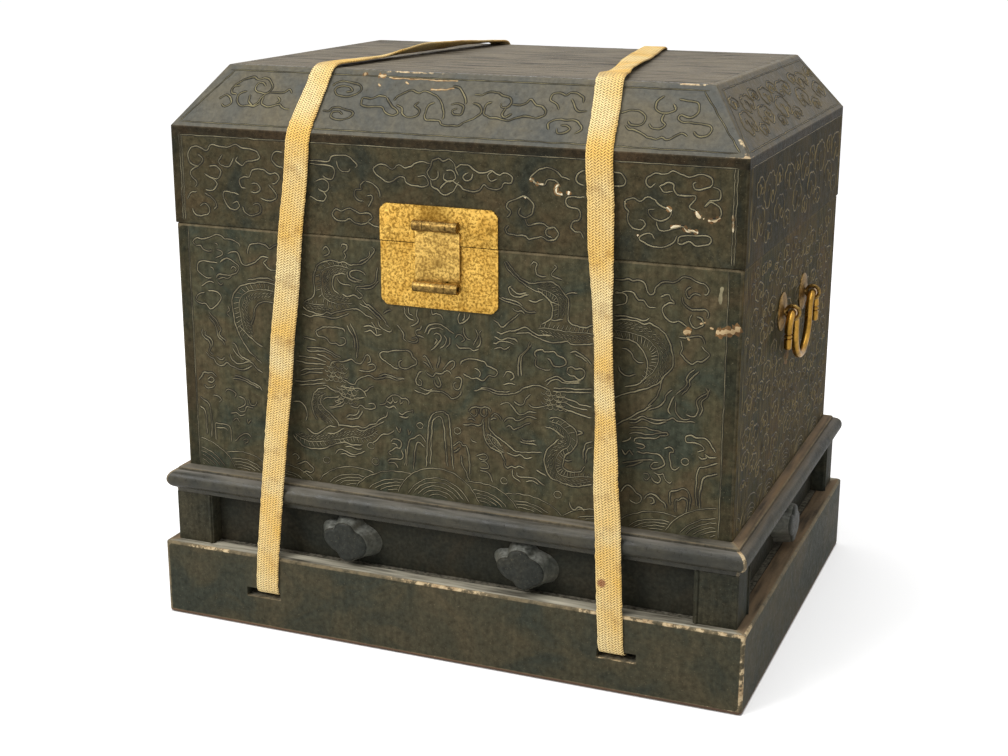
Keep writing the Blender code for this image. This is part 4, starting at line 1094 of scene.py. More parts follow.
    ((-172, 326), (-181, 326), (-189, 323), (-193, 317), (-194, 309), (-198, 301)),
    ((-211, 300), (-194, 286), (-186, 282)),
    ((-222, 318), (-220, 314), (-223, 311), (-220, 307)),
    ((-243, 310), (-240, 306), (-236, 303), (-231, 294), (-233, 289), (-225, 283)),
    ((-244, 306), (-236, 297), (-234, 287), (-229, 283), (-227, 279)),
    ((-251, 293), (-252, 288), (-249, 284), (-245, 282), (-243, 277), (-245, 271), (-240, 268)),
    ((-248, 291), (-248.5, 287), (-241, 282), (-242, 276)),
    ((-220, 282), (-216, 281), (-211, 271), (-206, 268), (-199, 266)),
    ((-219, 277), (-212, 269), (-207, 266)),
    ((-249, 270), (-245, 266), (-240, 264), (-238, 260), (-234, 258), (-229, 259), (-226, 262),
     (-222, 259.5), (-209, 256.5), (-198, 262)),
    ((-237, 267), (-232, 264), (-228, 267)),
    ((-222, 271), (-219, 265), (-213, 262), (-200, 265), (-194, 260), (-187, 256)),
    ((-220, 247), (-208, 246), (-191, 240)),
    ((-218, 250), (-210, 249), (-192, 242.5), (-188, 238)),
    ((-258, 241), (-252, 249), (-247, 249), (-242, 249.5), (-238, 246)),
    ((-248, 243), (-244, 246), (-241, 243), (-244, 240), (-248, 241)),
    ((-253, 237), (-249, 234), (-244, 235), (-240, 239)),
    ((-229, 232), (-225, 235.5), (-217, 231.5), (-219, 228)),
    ((-243, 227), (-238, 227), (-234, 224), (-237, 221)),
    ((-214, 229), (-209, 228), (-207, 223), (-211, 219), (-216, 217), (-212, 214), (-208, 216), (-206, 220),
     (-198, 219)),
    ((-203, 229), (-202, 223), (-197, 222), (-194, 226)),
    ((-224, 211), (-218, 212.5), (-213, 210), (-208, 212)),
    ((-222, 203), (-218, 207), (-214, 203)),
    ((-206, 208), (-205, 203), (-202, 207)),
    ((-260, 225), (-249, 219), (-247, 214), (-246, 200), (-247, 184)),
    ((-260, 215), (-254, 212), (-252, 205), (-252, 186)),
    ((-242, 182), (-242, 198), (-236, 199), (-226, 197), (-225, 182)),
    ((-241, 194), (-233, 195.5), (-228, 193)),
    ((-221, 183), (-213, 190.5), (-208, 192.5), (-204, 191.5), (-202, 188)),
    ((-212, 185), (-207, 187), (-206, 184), (-210, 182)),
    ((-139, 330), (-132, 334), (-128, 341), (-129, 350), (-127, 361), (-121, 368), (-112, 371), (-103, 370),
     (-97, 371), (-90, 368.5), (-78, 371), (-68, 380), (-66, 385), (-69, 387)),
    ((-82, 371.5), (-72, 378), (-71, 383)),
    ((-100, 384), (-98, 387), (-94, 386.5), (-94, 383), (-97, 380), (-95, 377), (-97, 373)),
    ((-119, 380), (-115, 383.5), (-112, 380), (-114, 376), (-119, 374)),
    ((-75, 360), (-78, 363), (-85, 364), (-91, 362), (-90, 357.5), (-84, 355), (-78, 356)),
    ((-94, 363), (-93, 357), (-88, 353.5), (-80, 353.5)),
    ((-103, 340), (-108, 344), (-110, 350), (-108, 356), (-102, 359.5), (-95, 359)),
    ((-105, 355), (-101, 351), (-90, 349)),
    ((-86, 345), (-84, 349), (-73, 350.5), (-65, 356), (-63, 369)),
    ((-82, 347.5), (-71, 348.5), (-62, 356)),
    ((-85, 346), (-79, 341), (-82, 338), (-88, 341), (-95, 339), (-100, 341)),
    ((-79, 337), (-75, 333), (-70, 331), (-57, 320), (-56, 316), (-52, 314)),
    ((-82, 333), (-74, 330), (-61, 320)),
    ((-79, 325), (-74, 322), (-68, 320.5)),
    ((-58, 325), (-54, 329), (-50, 330)),
    ((-79, 312), (-72, 313), (-61, 310)),
    ((-78, 307), (-71, 308.5), (-66, 305.5), (-60, 306)),
    ((-70, 317), (-67, 313), (-65, 306)),
    ((-64, 319), (-61, 313), (-52, 309), (-50, 312)),
    ((-142, 325), (-134, 321), (-122, 319), (-116, 322), (-112, 320.5), (-107, 322.5), (-90, 327.5),
     (-84, 327.5), (-78, 324)),
    ((-142, 318), (-134, 316), (-127, 318), (-108, 317), (-93, 323)),
    ((-117, 308.5), (-127, 304), (-128, 300.5), (-124, 297.5), (-118, 297), (-113, 292.5), (-108, 293),
     (-104, 291.5), (-99, 293), (-97, 296), (-99, 299), (-103, 299)),
    ((-118, 308), (-101, 308), (-98, 304)),
    ((-93, 314), (-87, 304), (-85, 290), (-87, 281)),
    ((-96, 312), (-88.5, 299), (-88, 290)),
    ((-142, 296), (-134, 294.5), (-128, 294)),
    ((-139, 284), (-134, 282.5), (-119, 284), (-107, 279)),
    ((-139, 286), (-121, 286.5), (-103, 279.5)),
    ((-128, 280), (-120, 279), (-113, 276)),
    ((-148, 277), (-126, 276), (-118, 274)),
    ((-150, 272), (-140, 271), (-119, 271.5)),
    ((-147, 262), (-138, 265), (-121, 267)),
    ((-146, 258), (-136, 262), (-122, 263)),
    ((-152, 252), (-142, 252.5), (-121, 257)),
    ((-148, 249), (-138, 250), (-119, 253.5)),
    ((-114, 270), (-112, 274), (-107, 276), (-101, 276), (-92, 279), (-87, 276.5), (-81, 277), (-77, 284.5),
     (-73, 284), (-72, 280), (-75, 278)),
    ((-75, 275), (-70, 277), (-67, 275), (-70, 271), (-77, 269), (-84, 270)),
    ((-101, 259), (-90, 255), (-85, 261), (-73, 266), (-67, 263), (-57, 266), (-52, 266), (-46, 264.5),
     (-40, 266)),
    ((-64, 266), (-57, 268.5), (-44, 266.5), (-37, 267)),
    ((-80, 249), (-76, 251), (-73, 254.5), (-69, 256)),
    ((-123, 251), (-117, 250), (-112, 247), (-106, 246), (-100, 242), (-92, 241), (-79, 244)),
    ((-104, 252), (-91, 251), (-86, 252.5), (-80, 249.5), (-77, 245)),
    ((-123, 236), (-119, 239), (-108, 241), (-105, 243)),
    ((-117, 230), (-110, 232), (-101, 238), (-103, 240), (-109, 237.5)),
    ((-116, 229), (-105, 232), (-100, 236)),
    ((-94, 234), (-87, 233), (-83, 236), (-78, 233), (-68, 235), (-70, 239), (-76, 238)),
    ((-99, 222), (-95, 225), (-90, 225.5), (-86, 228), (-85, 232)),
    ((-98, 220.5), (-86, 223), (-81, 231)),
    ((-108, 214), (-95, 213.5), (-88, 215), (-82, 213.5), (-77, 215), (-74, 218), (-68, 219.5),
     (-65, 223.5), (-57, 228), (-55, 233)),
    ((-88, 212), (-80, 211.5), (-59, 223)),
    ((-72, 200), (-68, 203), (-62, 210), (-56, 211), (-49, 215)),
    ((-119, 249), (-128, 246), (-133, 240), (-135, 231), (-133, 222), (-129, 216)),
    ((-123, 241), (-126, 235), (-123, 230), (-109, 218), (-107, 212)),
    ((-141, 206), (-134, 202), (-128, 203), (-118, 211), (-109, 211)),
    ((-120, 204), (-112, 205), (-101, 211)),
    ((-156, 198), (-150, 191), (-143, 187.5), (-127, 187.5), (-103, 197), (-94, 196), (-82, 197)),
    ((-155, 231), (-148, 232), (-142, 228), (-140, 221), (-142, 214)),
    ((-111, 185), (-108, 188.5), (-103, 189.5), (-91, 186), (-80, 191)),
    ((-106, 185), (-101, 186.5), (-96, 184.5), (-89, 184)),
    ((-100, 193), (-94, 194), (-88, 192), (-83, 193)),
    ((-153, 168), (-144, 172.5), (-135, 166), (-138, 162), (-143, 163), (-147, 160)),
    ((-158, 177), (-154, 179), (-150, 176), (-153, 173)),
    ((-43, 275), (-49, 276), (-56, 281), (-60, 283), (-61, 289), (-35, 293.5), (-29, 288), (-26, 286),
     (-26, 282), (-34, 277), (-39, 276), (-43, 278), (-43, 282), (-40, 284)),
    ((-17, 312), (-13, 319), (-1, 321.5), (12, 314)),
    ((-14, 311), (-11, 316), (-5, 318), (2, 317)),
    ((-8, 311), (-5, 313), (-1, 311), (-1, 307), (-11, 296)),
    ((-6, 308), (-4.5, 306), (-8, 302)),
    ((2, 312), (5, 308), (3, 303), (-2, 299)),
    ((8, 311), (8, 305), (4, 300)),
    ((-18, 308), (-24, 309), (-25, 313), (-21, 315), (-20, 319)),
    ((-34, 303), (-28, 302), (-24, 304), (-26, 307), (-31, 305)),
    ((-45, 317), (-38, 310), (-38, 305), (-35, 302)),
    ((-31, 317), (-26, 319), (-23, 323), (-25, 328), (-24, 334)),
    ((-37, 335), (-36, 328), (-32, 324), (-27, 323)),
    ((-33, 335), (-32, 329), (-28, 327)),
    ((-10, 335), (-9, 330), (-5, 331.5), (-1, 330), (2, 326)),
    ((13, 310), (16, 314), (20, 313), (22, 309.5), (19, 307)),
    ((14, 305), (17, 302), (27, 302), (31, 300.5), (36, 302)),
    ((21, 321), (22, 315), (25, 311), (29, 310)),
    ((33, 320), (35, 315), (31, 305)),
    ((39, 320), (36, 316), (38, 311), (37, 306), (34, 304)),
    ((18, 334), (16, 328), (18, 324), (26, 329), (27, 334)),
    ((22, 334), (22, 329), (20, 327)),
    ((-19, 289), (-16, 290), (-8, 278)),
    ((-19, 285), (-15, 283), (-12, 280)),
    ((-3, 292), (-3, 286), (-5, 280)),
    ((1, 279), (8, 288), (12, 288), (12, 284), (8, 280)),
    ((-16, 276), (-13, 273), (-9, 272), (-6, 276), (-2, 275), (6, 279), (9, 276)),
    ((-20, 276), (-24, 273), (-26, 268), (-25, 263), (-21, 262), (-20, 266), (-23, 268)),
    ((-28, 257), (-19, 254.5), (-14, 255), (-11, 258), (-1, 258.5), (4, 257), (11, 253), (18, 258),
     (19, 262)),
    ((-23, 260), (-14, 258), (-9, 261)),
    ((-8, 269), (-6, 264), (-3, 262.5), (-1, 265), (-4, 272)),
    ((12, 272), (17, 274), (19.5, 270), (18, 264), (15, 262), (12, 264), (11.5, 268), (14, 269)),
    ((21, 278), (29, 274.5), (34, 275), (40, 273.5), (46, 278.5), (51, 278.5), (54, 281), (53, 285),
     (44, 288), (42, 291), (28, 292.5), (20, 290), (18, 286)),
    ((36, 276), (38, 280), (36, 283), (32, 284)),
    ((60, 279), (63, 284), (68, 284), (70, 280), (66, 277)),
    ((60, 272), (66, 274), (72, 273)))


# Foam rings (u, v), wave fans and dragon cheeks, and the coils' scaly skin as (path, width, side of the back)
FOAM = ((-22.5, 223.5), (14.5, 223), (-73.5, 197.5), (-69, 182.5), (-121, 177), (61, 181), (113, 175),
        (229.5, 221.5))
FOAM_RADIUS = 3.4
FANS = ((-5, 140, 44, 44), (-42, 140, 52, 36), (36, 140, 42, 36), (265, 140, 55, 43), (-268, 140, 50, 43),
        (-90, 140, 44, 34), (78, 138, 46, 32.5), (208, 140, 46, 32), (-215, 140, 42, 33), (-168, 137, 40, 30),
        (150, 136, 42, 30))
CHEEKS = ((-98, 266, 1), (99, 264, -1), (-88, 246, 1))
COILS = (
    (((90, 364.5), (100, 363), (108, 360), (113, 354), (113, 346), (112, 338)), 13, -1),
    (((92, 326), (104, 326), (116, 325), (128, 325), (144, 326)), 15, 1),
    (((162, 334), (178, 334), (192, 330), (203, 321), (205, 309), (200, 297), (188, 288)), 18, -1),
    (((104, 242), (113, 239), (121, 232), (121, 223), (112, 216), (108, 206), (110, 197), (120, 191),
      (145, 195)), 16, 1),
    (((-92, 364.5), (-108, 364.5), (-119, 358), (-119, 346), (-117, 337), (-106, 333), (-90, 334)), 15, -1),
    (((-142, 328), (-126, 327), (-112, 328), (-98, 331)), 10, 1),
    (((-170, 335), (-186, 335), (-200, 331), (-207, 322), (-206, 308), (-203, 297), (-196, 288)), 17, -1),
    (((-120, 245), (-129, 238), (-129, 228), (-121, 220), (-113, 214)), 11, 1),
    (((-154, 200), (-140, 195), (-124, 197), (-108, 201), (-94, 205), (-80, 206), (-66, 214)), 13, -1),
    (((62, 208), (50, 216), (44, 226)), 9, 1))


def draw_dragon_pair(drawing):
    """Front and rear of the body: two dragons at the pearl over rocks and waves, with clouds between."""
    drawing.add([smooth(line) for line in BODY_LINES])
    add_rings(drawing, FOAM, FOAM_RADIUS)
    add_waves(drawing, FANS)
    for cheek in CHEEKS:
        add_cheek(drawing, *cheek)
    for coil in COILS:
        add_serpent(drawing, *coil)


# Clouds drawn on the front of the lid: pen lines on the skirt and on the slope
SKIRT_LINES = (
    ((-252, 447), (-241, 455), (-246, 461), (-243, 459)),
    ((-251, 430), (-249, 434), (-255, 442), (-252, 447), (-246, 450), (-253, 451), (-257, 457), (-255, 465),
     (-247, 468), (-237, 465), (-231, 470), (-214, 469), (-206, 472), (-198, 469), (-190, 469), (-183, 466),
     (-181, 461), (-187, 458), (-194, 457), (-200, 453), (-206, 457), (-203, 461)),
    ((-220, 462), (-224, 456), (-221, 452), (-213, 451), (-208, 460)),
    ((-235, 450), (-228, 451), (-222, 446), (-225, 440), (-232, 440), (-240, 443)),
    ((-239, 442), (-231, 439), (-227, 434), (-232, 428), (-240, 428)),
    ((-241, 425), (-236, 423), (-230, 418), (-229, 413), (-232, 410)),
    ((-260, 418), (-256, 424), (-249, 426)),
    ((-255, 410), (-252, 404), (-245, 403), (-237, 406), (-237, 412), (-242, 415), (-246, 412)),
    ((-221, 421), (-219, 428), (-204, 426)),
    ((-221, 421), (-215, 413), (-209, 411), (-204, 415), (-206, 419), (-211, 417)),
    ((-201, 415), (-198, 409), (-191, 407), (-183, 410), (-181, 415), (-185, 419), (-190, 417)),
    ((-196, 432), (-201, 433), (-203, 439), (-200, 442), (-193, 443), (-190, 448), (-183, 451), (-176, 450),
     (-170, 447), (-164, 448), (-161, 444), (-164, 439), (-169, 438)),
    ((-190, 437), (-184, 437), (-181, 433), (-185, 429), (-191, 429)),
    ((-172, 437), (-164, 428), (-167, 423), (-174, 422), (-181, 424)),
    ((-156, 468), (-165, 467), (-168, 462), (-164, 456), (-156, 453)),
    ((-130, 462), (-110, 462), (-106, 467), (-91, 468), (-81, 461), (-83, 458)),
    ((-102, 463), (-100, 458), (-96, 454), (-90, 454), (-88, 457)),
    ((-130, 459), (-108, 458), (-104, 453), (-106, 447), (-112, 446), (-116, 449)),
    ((-124, 443), (-117, 446), (-111, 443), (-110, 438), (-115, 434), (-121, 437)),
    ((-130, 430), (-122, 426), (-116, 426), (-113, 430), (-116, 434)),
    ((-73, 447), (-78, 443), (-77, 439), (-83, 438), (-84, 433), (-80, 429), (-75, 428)),
    ((-73, 447), (-65, 444), (-60, 439), (-58, 432)),
    ((-72, 434), (-67, 434), (-67, 429), (-71, 423)),
    ((-60, 406), (-66, 407), (-71, 410), (-67, 414), (-71, 418), (-79, 417), (-85, 420), (-91, 421),
     (-97, 418), (-104, 419), (-107, 414), (-103, 410), (-95, 409), (-90, 411), (-85, 408), (-77, 407),
     (-71, 410)),
    ((-9, 466), (-20, 467), (-32, 461), (-40, 463), (-46, 459), (-52, 462), (-60, 462), (-65, 457),
     (-54, 448), (-46, 448), (-41, 452), (-35, 452), (-32, 447), (-16, 445), (-11, 449), (-15, 455),
     (-22, 454)),
    ((-2, 460), (-2, 454), (-8, 452), (-12, 458), (-9, 464), (-7, 469), (-1, 471), (3, 469), (9, 471),
     (14, 467), (15, 462), (18, 457)),
    ((4, 459), (4, 453), (10, 451), (15, 455), (12, 461), (6, 461)),
    ((-9, 452), (-8, 446), (-3, 444), (1, 440), (7, 440), (13, 444), (18, 452)),
    ((0, 444), (4, 449), (11, 452), (18, 449), (23, 445), (31, 444), (38, 446), (42, 451), (46, 448),
     (53, 447), (58, 449), (60, 453), (67, 454), (68, 459), (62, 462), (56, 460), (49, 463), (41, 461),
     (34, 462), (28, 466), (21, 467), (15, 464)),
    ((27, 460), (22, 457), (24, 453), (30, 455), (31, 460)),
    ((50, 463), (45, 459), (48, 454), (54, 456)),
    ((84, 459), (90, 465), (99, 469), (108, 467), (114, 462), (121, 460)),
    ((84, 459), (91, 455), (97, 454), (100, 458), (106, 459), (111, 455), (107, 451), (110, 447),
     (115, 446)),
    ((135, 446), (119, 445), (118, 439), (122, 436), (129, 435), (131, 430), (129, 426), (124, 424),
     (122, 419), (126, 416), (130, 416), (134, 411)),
    ((134, 469), (128, 466), (126, 461), (129, 457), (134, 456)),
    ((63, 424), (67, 428), (63, 433), (66, 438), (72, 440), (78, 443), (84, 441), (88, 436), (86, 428),
     (79, 425), (74, 428), (76, 433)),
    ((80, 424), (83, 418), (94, 421), (101, 418), (107, 418), (111, 413), (108, 408), (102, 406), (96, 409),
     (84, 406), (80, 409), (66, 409), (62, 413), (65, 417)),
    ((107, 418), (100, 416), (100, 411), (105, 409)),
    ((157, 469), (166, 468), (170, 463), (168, 458), (157, 457)),
    ((196, 462), (192, 458), (188, 461), (189, 466), (196, 470), (205, 470), (210, 473), (219, 470),
     (227, 469), (233, 471), (240, 471), (245, 467), (243, 462), (236, 459), (230, 459), (228, 463),
     (231, 465)),
    ((199, 459), (206, 463), (211, 462), (212, 457), (217, 453), (231, 453), (226, 444), (232, 441)),
    ((200, 459), (204, 455), (211, 456)),
    ((245, 462), (251, 459), (251, 452), (243, 450), (239, 445), (244, 449), (251, 446), (253, 440),
     (250, 436), (243, 434)),
    ((174, 436), (170, 441), (171, 446), (177, 448), (183, 446), (190, 450), (196, 448), (200, 444),
     (210, 439), (206, 432), (199, 431), (192, 434), (191, 439), (196, 440)),
    ((173, 436), (173, 428), (178, 423), (184, 422), (188, 426), (186, 430), (182, 430)),
    ((197, 415), (193, 419), (186, 418), (184, 413), (198, 408), (212, 412), (216, 419)),
    ((217, 413), (219, 419), (234, 420), (241, 421), (245, 418), (243, 414), (236, 412), (230, 413),
     (226, 415), (221, 412), (217, 413)),
    ((198, 430), (199, 425), (204, 422), (219, 427), (226, 424), (234, 423)))
SLOPE_LINES = (
    ((-214, 46), (-220, 44), (-221, 38), (-215, 36)),
    ((-221, 42), (-217, 49), (-204, 55), (-198, 53), (-191, 55), (-184, 52), (-180, 46), (-183, 40),
     (-190, 39), (-197, 42), (-197, 48), (-191, 50), (-187, 46)),
    ((-232, 30), (-226, 35), (-220, 32), (-218, 27), (-223, 23), (-228, 26)),
    ((-205, 40), (-212, 37), (-213, 30), (-207, 25), (-199, 25), (-192, 27), (-184, 39), (-168, 40),
     (-162, 44), (-158, 40)),
    ((-201, 37), (-200, 30), (-194, 25), (-188, 28)),
    ((-186, 35), (-186, 28), (-180, 25), (-173, 26), (-168, 28), (-162, 24), (-156, 23)),
    ((-172, 36), (-168, 32), (-172, 29)),
    ((-120, 50), (-113, 55), (-95, 53), (-90, 48), (-94, 42), (-103, 40), (-112, 41), (-116, 46),
     (-111, 50), (-103, 50), (-98, 46), (-104, 44)),
    ((-122, 24), (-116, 24), (-111, 28), (-97, 26), (-91, 22), (-96, 17), (-104, 16), (-112, 18),
     (-111, 23), (-105, 24), (-101, 21)),
    ((-62, 41), (-70, 42), (-78, 39), (-86, 39), (-85, 32), (-79, 30), (-65, 31), (-60, 26), (-53, 23),
     (-47, 26), (-58, 35), (-62, 41)),
    ((-55, 38), (-51, 43), (-41, 49), (-33, 47), (-27, 49), (-13, 43), (-4, 30), (-3, 21)),
    ((-30, 38), (-33, 34), (-27, 30), (-28, 24), (-36, 22), (-43, 25), (-45, 31), (-51, 34)),
    ((-14, 38), (-19, 36), (-21, 28), (-19, 21), (-6, 20), (-2, 16), (13, 16), (18, 20), (26, 24), (31, 30),
     (28, 37), (21, 39)),
    ((-2, 55), (5, 54), (13, 44), (15, 38)),
    ((1, 37), (8, 38), (14, 34), (13, 28), (7, 27), (4, 31), (8, 33)),
    ((21, 48), (28, 48), (34, 51), (42, 51), (48, 48), (54, 47), (57, 42), (54, 37), (49, 37), (48, 41)),
    ((39, 41), (34, 38), (34, 30), (39, 26), (46, 26), (58, 24), (71, 29), (83, 28), (89, 30), (90, 35),
     (86, 39), (80, 41), (74, 46), (69, 41), (58, 40)),
    ((53, 36), (51, 30), (55, 27), (60, 31)),
    ((102, 37), (98, 43), (92, 46), (93, 52), (99, 54), (104, 51), (108, 54), (115, 54), (121, 50),
     (122, 45)),
    ((111, 48), (119, 37), (127, 37)),
    ((97, 17), (95, 23), (100, 27), (106, 28), (112, 27), (118, 28), (124, 24), (126, 19), (121, 15)),
    ((104, 19), (106, 14), (112, 15), (116, 19), (112, 22), (107, 22)),
    ((157, 37), (166, 40), (175, 39), (180, 33), (177, 27), (169, 26), (165, 30)),
    ((192, 55), (187, 51), (186, 44), (190, 40), (198, 39), (204, 43), (201, 48)),
    ((205, 53), (221, 50), (224, 44), (222, 38), (217, 36), (210, 38), (208, 34), (213, 31), (220, 31),
     (235, 29), (238, 24), (234, 19), (227, 19), (223, 23)),
    ((195, 38), (194, 32), (198, 28), (195, 24), (188, 24), (184, 28)),
    ((163, 25), (168, 22), (174, 21), (190, 14), (197, 16), (203, 14), (213, 21), (219, 18)))


def draw_cloud_row(drawing, half_width, middle, height, seed):
    """A plain row of clouds, high and low by turns, each with a smaller one on its other side."""
    rng = random.Random(seed)
    u = -half_width + 28
    rank = 0
    while u < half_width - 20:
        width = rng.uniform(34, 54)
        shift = height * (0.2 if rank % 2 else -0.16)
        add_cloud(drawing, u, middle + shift, width, height * rng.uniform(0.42, 0.6), rng.choice((-1, 1)))
        beside = u + rng.uniform(-6, 6)
        add_cloud(drawing, beside, middle - shift * 2.0, width * 0.6, height * 0.3, rng.choice((-1, 1)))
        u += width * 0.86
        rank += 1


def add_border(drawing, half_width, low, high, insets, top=None):
    """Straight threads beside the ends of a panel and, with top, under its upper edge."""
    for inset in insets:
        for u in (inset - half_width, half_width - inset):
            drawing.add_straight(Vector((u, low)), Vector((u, high)), 40)
    if top:
        reach = half_width - insets[0]
        drawing.add_straight(Vector((-reach, top)), Vector((reach, top)), 80)


def panel(side, half, base, lean=0.0, rise=1.0):
    """Places a drawing on a side: millimetres to metres, with v climbing by rise for each lean inwards."""
    outward, along = SIDES[side]
    reach = half.y if outward.y else half.x
    climb = (Vector((0, 0, rise)) - outward * lean).normalized()
    origin = outward * reach + Vector((0, 0, base))
    axes = [axis * MM for axis in (along, climb, along.cross(climb))]
    return Matrix.Translation(origin) @ Matrix(axes).transposed().to_4x4()


def cord_mesh(name, cords, rounds):
    """A mesh of round cords in one plane, each a list of (place, radius)."""
    curve = bpy.data.curves.new(name, "CURVE")
    curve.dimensions = "3D"
    curve.twist_mode = "Z_UP"
    curve.bevel_depth = 1.0
    curve.bevel_resolution = rounds
    curve.use_fill_caps = True
    for cord in cords:
        spline = curve.splines.new("POLY")
        spline.points.add(len(cord) - 1)
        for point, (spot, radius) in zip(spline.points, cord):
            point.co = (*spot, 1)
            point.radius = radius
    holder = bpy.data.objects.new(name, curve)
    mesh = bpy.data.meshes.new_from_object(holder)
    bpy.data.objects.remove(holder)
    bpy.data.curves.remove(curve)
    mesh.materials.clear()
    return mesh


def relief(name, place, strokes, finish, body, sink=0.0, swell=1.0, flatten=1.0, ragged=(0.35, 0.12)):
    """Cords of paste laid on a panel, thinner at their ends and where they are rubbed.

    Sink lowers them into the panel, swell widens them and flatten presses them down; ragged is how much
    and how often, per millimetre, their width wavers.
    """
    amount, pace = ragged
    cords = []
    for line, radius in strokes:
        cord = []
        for index, spot in enumerate(line):
            rub = noise.noise(Vector((spot.x, spot.y, 1 / pace)) * pace)
            shake = noise.noise_vector(Vector((spot.x, spot.y, 0)) * TREMBLE_PACE) * TREMBLE
            taper = 0.45 if index in (0, len(line) - 1) else 1.0
            laid = (spot.x + shake.x, spot.y + shake.y, -sink)
            cord.append((laid, radius * swell * (1 + amount * rub) * taper))
        cords.append(cord)
    mesh = cord_mesh(name, cords, 0)
    mesh.transform(place @ Matrix.Diagonal((1, 1, flatten, 1)))
    return place_piece(name, mesh, [finish], body, smooth_degrees=80)


def lay_threads(name, place, drawing, body, finish):
    """A drawing's threads, and round each a wider, flattened dark cord of painted shadow."""
    relief(f"{name}_threads", place, drawing.strokes, finish, body, sink=0.12)
    relief(f"{name}_painted_shadows", place, drawing.strokes, THREAD_SHADOW, body, swell=2.0, flatten=0.08)


# Waves at the foot of the ends, the ones in front first, and the seed of the clouds above them
END_WAVES = ((0, 142), (-70, 134), (70, 134), (-140, 134), (140, 134), (-200, 131), (200, 131), (-35, 131),
             (35, 131), (-105, 131), (105, 131))
END_WAVE_REACH = 43
END_SEED = 3

# Room at the ends of a drawing, and the middle, height and shorter reach of a plain row of clouds
PEN_ROOM, SLOPE_ROOM = 14, 20
SKIRT_ROW = (437, 62, 10)
SLOPE_ROW = (34, 44, 30)

# Where the slope's border threads lie: from its foot, from its head, and from its ends
SLOPE_FOOT, SLOPE_HEAD, SLOPE_ENDS, SLOPE_HIPS = 5, 6, 8, 9


def decorate_body(side, wide, finish):
    half_width = (BODY_X if wide else BODY_Y) / MM
    low, high = MOULDING_TOP / MM, RIM_Z / MM
    drawing = Drawing(half_width - PEN_ROOM, low + 1, high - 5)
    if wide:
        draw_dragon_pair(drawing)
    else:
        add_waves(drawing, [(u, v, END_WAVE_REACH, END_WAVE_REACH) for u, v in END_WAVES])
        fill_gaps(drawing, END_SEED)
    add_border(drawing, half_width, low + 2, high - 3, (BODY_BORDER,))
    lay_threads(f"body_{side}", panel(side, BODY_HALF, 0), drawing, "chest", finish)


def draw_lid_clouds(drawing, side, lines, row, half_width, seed):
    """The listed clouds in front, and plain rows of clouds on the other sides."""
    if side == "front":
        drawing.add([smooth(line) for line in lines])
    else:
        middle, height, shorter = row
        draw_cloud_row(drawing, half_width - shorter, middle, height, seed)


def decorate_lid(side, wide, finish):
    half_width = (LID_X if wide else LID_Y) / MM
    low, high = LID_BOTTOM / MM, SHOULDER_Z / MM
    drawing = Drawing(half_width - PEN_ROOM, low + 4, high - 10)
    draw_lid_clouds(drawing, side, SKIRT_LINES, SKIRT_ROW, half_width, len(side))
    add_border(drawing, half_width, low + 3, high - 8, LID_BORDERS, high - 8)
    lay_threads(f"lid_{side}_skirt", panel(side, LID_HALF, 0), drawing, "lid", finish)

    head = SLOPE_LENGTH - SLOPE_HEAD
    hip = HIP_INSET / MM
    drawing = Drawing(half_width - SLOPE_ROOM, 8, SLOPE_LENGTH - 8)
    draw_lid_clouds(drawing, side, SLOPE_LINES, SLOPE_ROW, half_width, len(side) + 3)
    for v in (SLOPE_FOOT, head):
        reach = half_width - SLOPE_ENDS - hip * v / SLOPE_LENGTH
        drawing.add_straight(Vector((-reach, v)), Vector((reach, v)), 80)
    reach = half_width - SLOPE_HIPS
    for sign in (-1, 1):
        drawing.add_straight(Vector((sign * reach, SLOPE_FOOT)), Vector((sign * (reach - hip), head)), 20)
    place = panel(side, LID_HALF, SHOULDER_Z, HIP_INSET, HIP_RISE)
    lay_threads(f"lid_{side}_slope", place, drawing, "lid", SLOPE_THREAD if wide else END_THREAD)


for panel_side in SIDES:
    is_wide = panel_side in LONG_SIDES
    panel_thread = THREAD if is_wide else END_THREAD
    decorate_body(panel_side, is_wide, panel_thread)
    decorate_lid(panel_side, is_wide, panel_thread)


# Straps: one loop of webbing over the chest, in a front and a rear piece that meet on the lid

STRAP_THICKNESS = 0.0020
STRAP_REST = 0.0006
STRAP_STEP = 0.003
STRAP_WELD = 1e-7
BEND_ROUNDS = 14
SLOT_END = PLINTH_Y - PLINTH_BOARD
SLOT_ENTRY = SLOT_TOP - 0.0035
SEAM_STAGE = 5.93
LAST_STAGE = 11

# Half of the section: shares of the width, and beyond the selvedge the thickness thins to shares of itself
HALF_SECTION = (-1.0, -0.96, -0.8, -0.5, -0.2, 0.2, 0.5, 0.8, 0.96, 1.0)
SELVEDGE, SELVEDGE_SHARE, EDGE_SHARE = 0.9, 0.85, 0.25

# How far, and how often per millimetre, the selvedge frays and the whole strap wavers
FRAY, FRAY_PACE = 0.0008, 0.35
WAVER, WAVER_PACE = 0.0009, 0.02

# How far from the rim the webbing starts to follow the other body
BLEND_REACH = 0.02

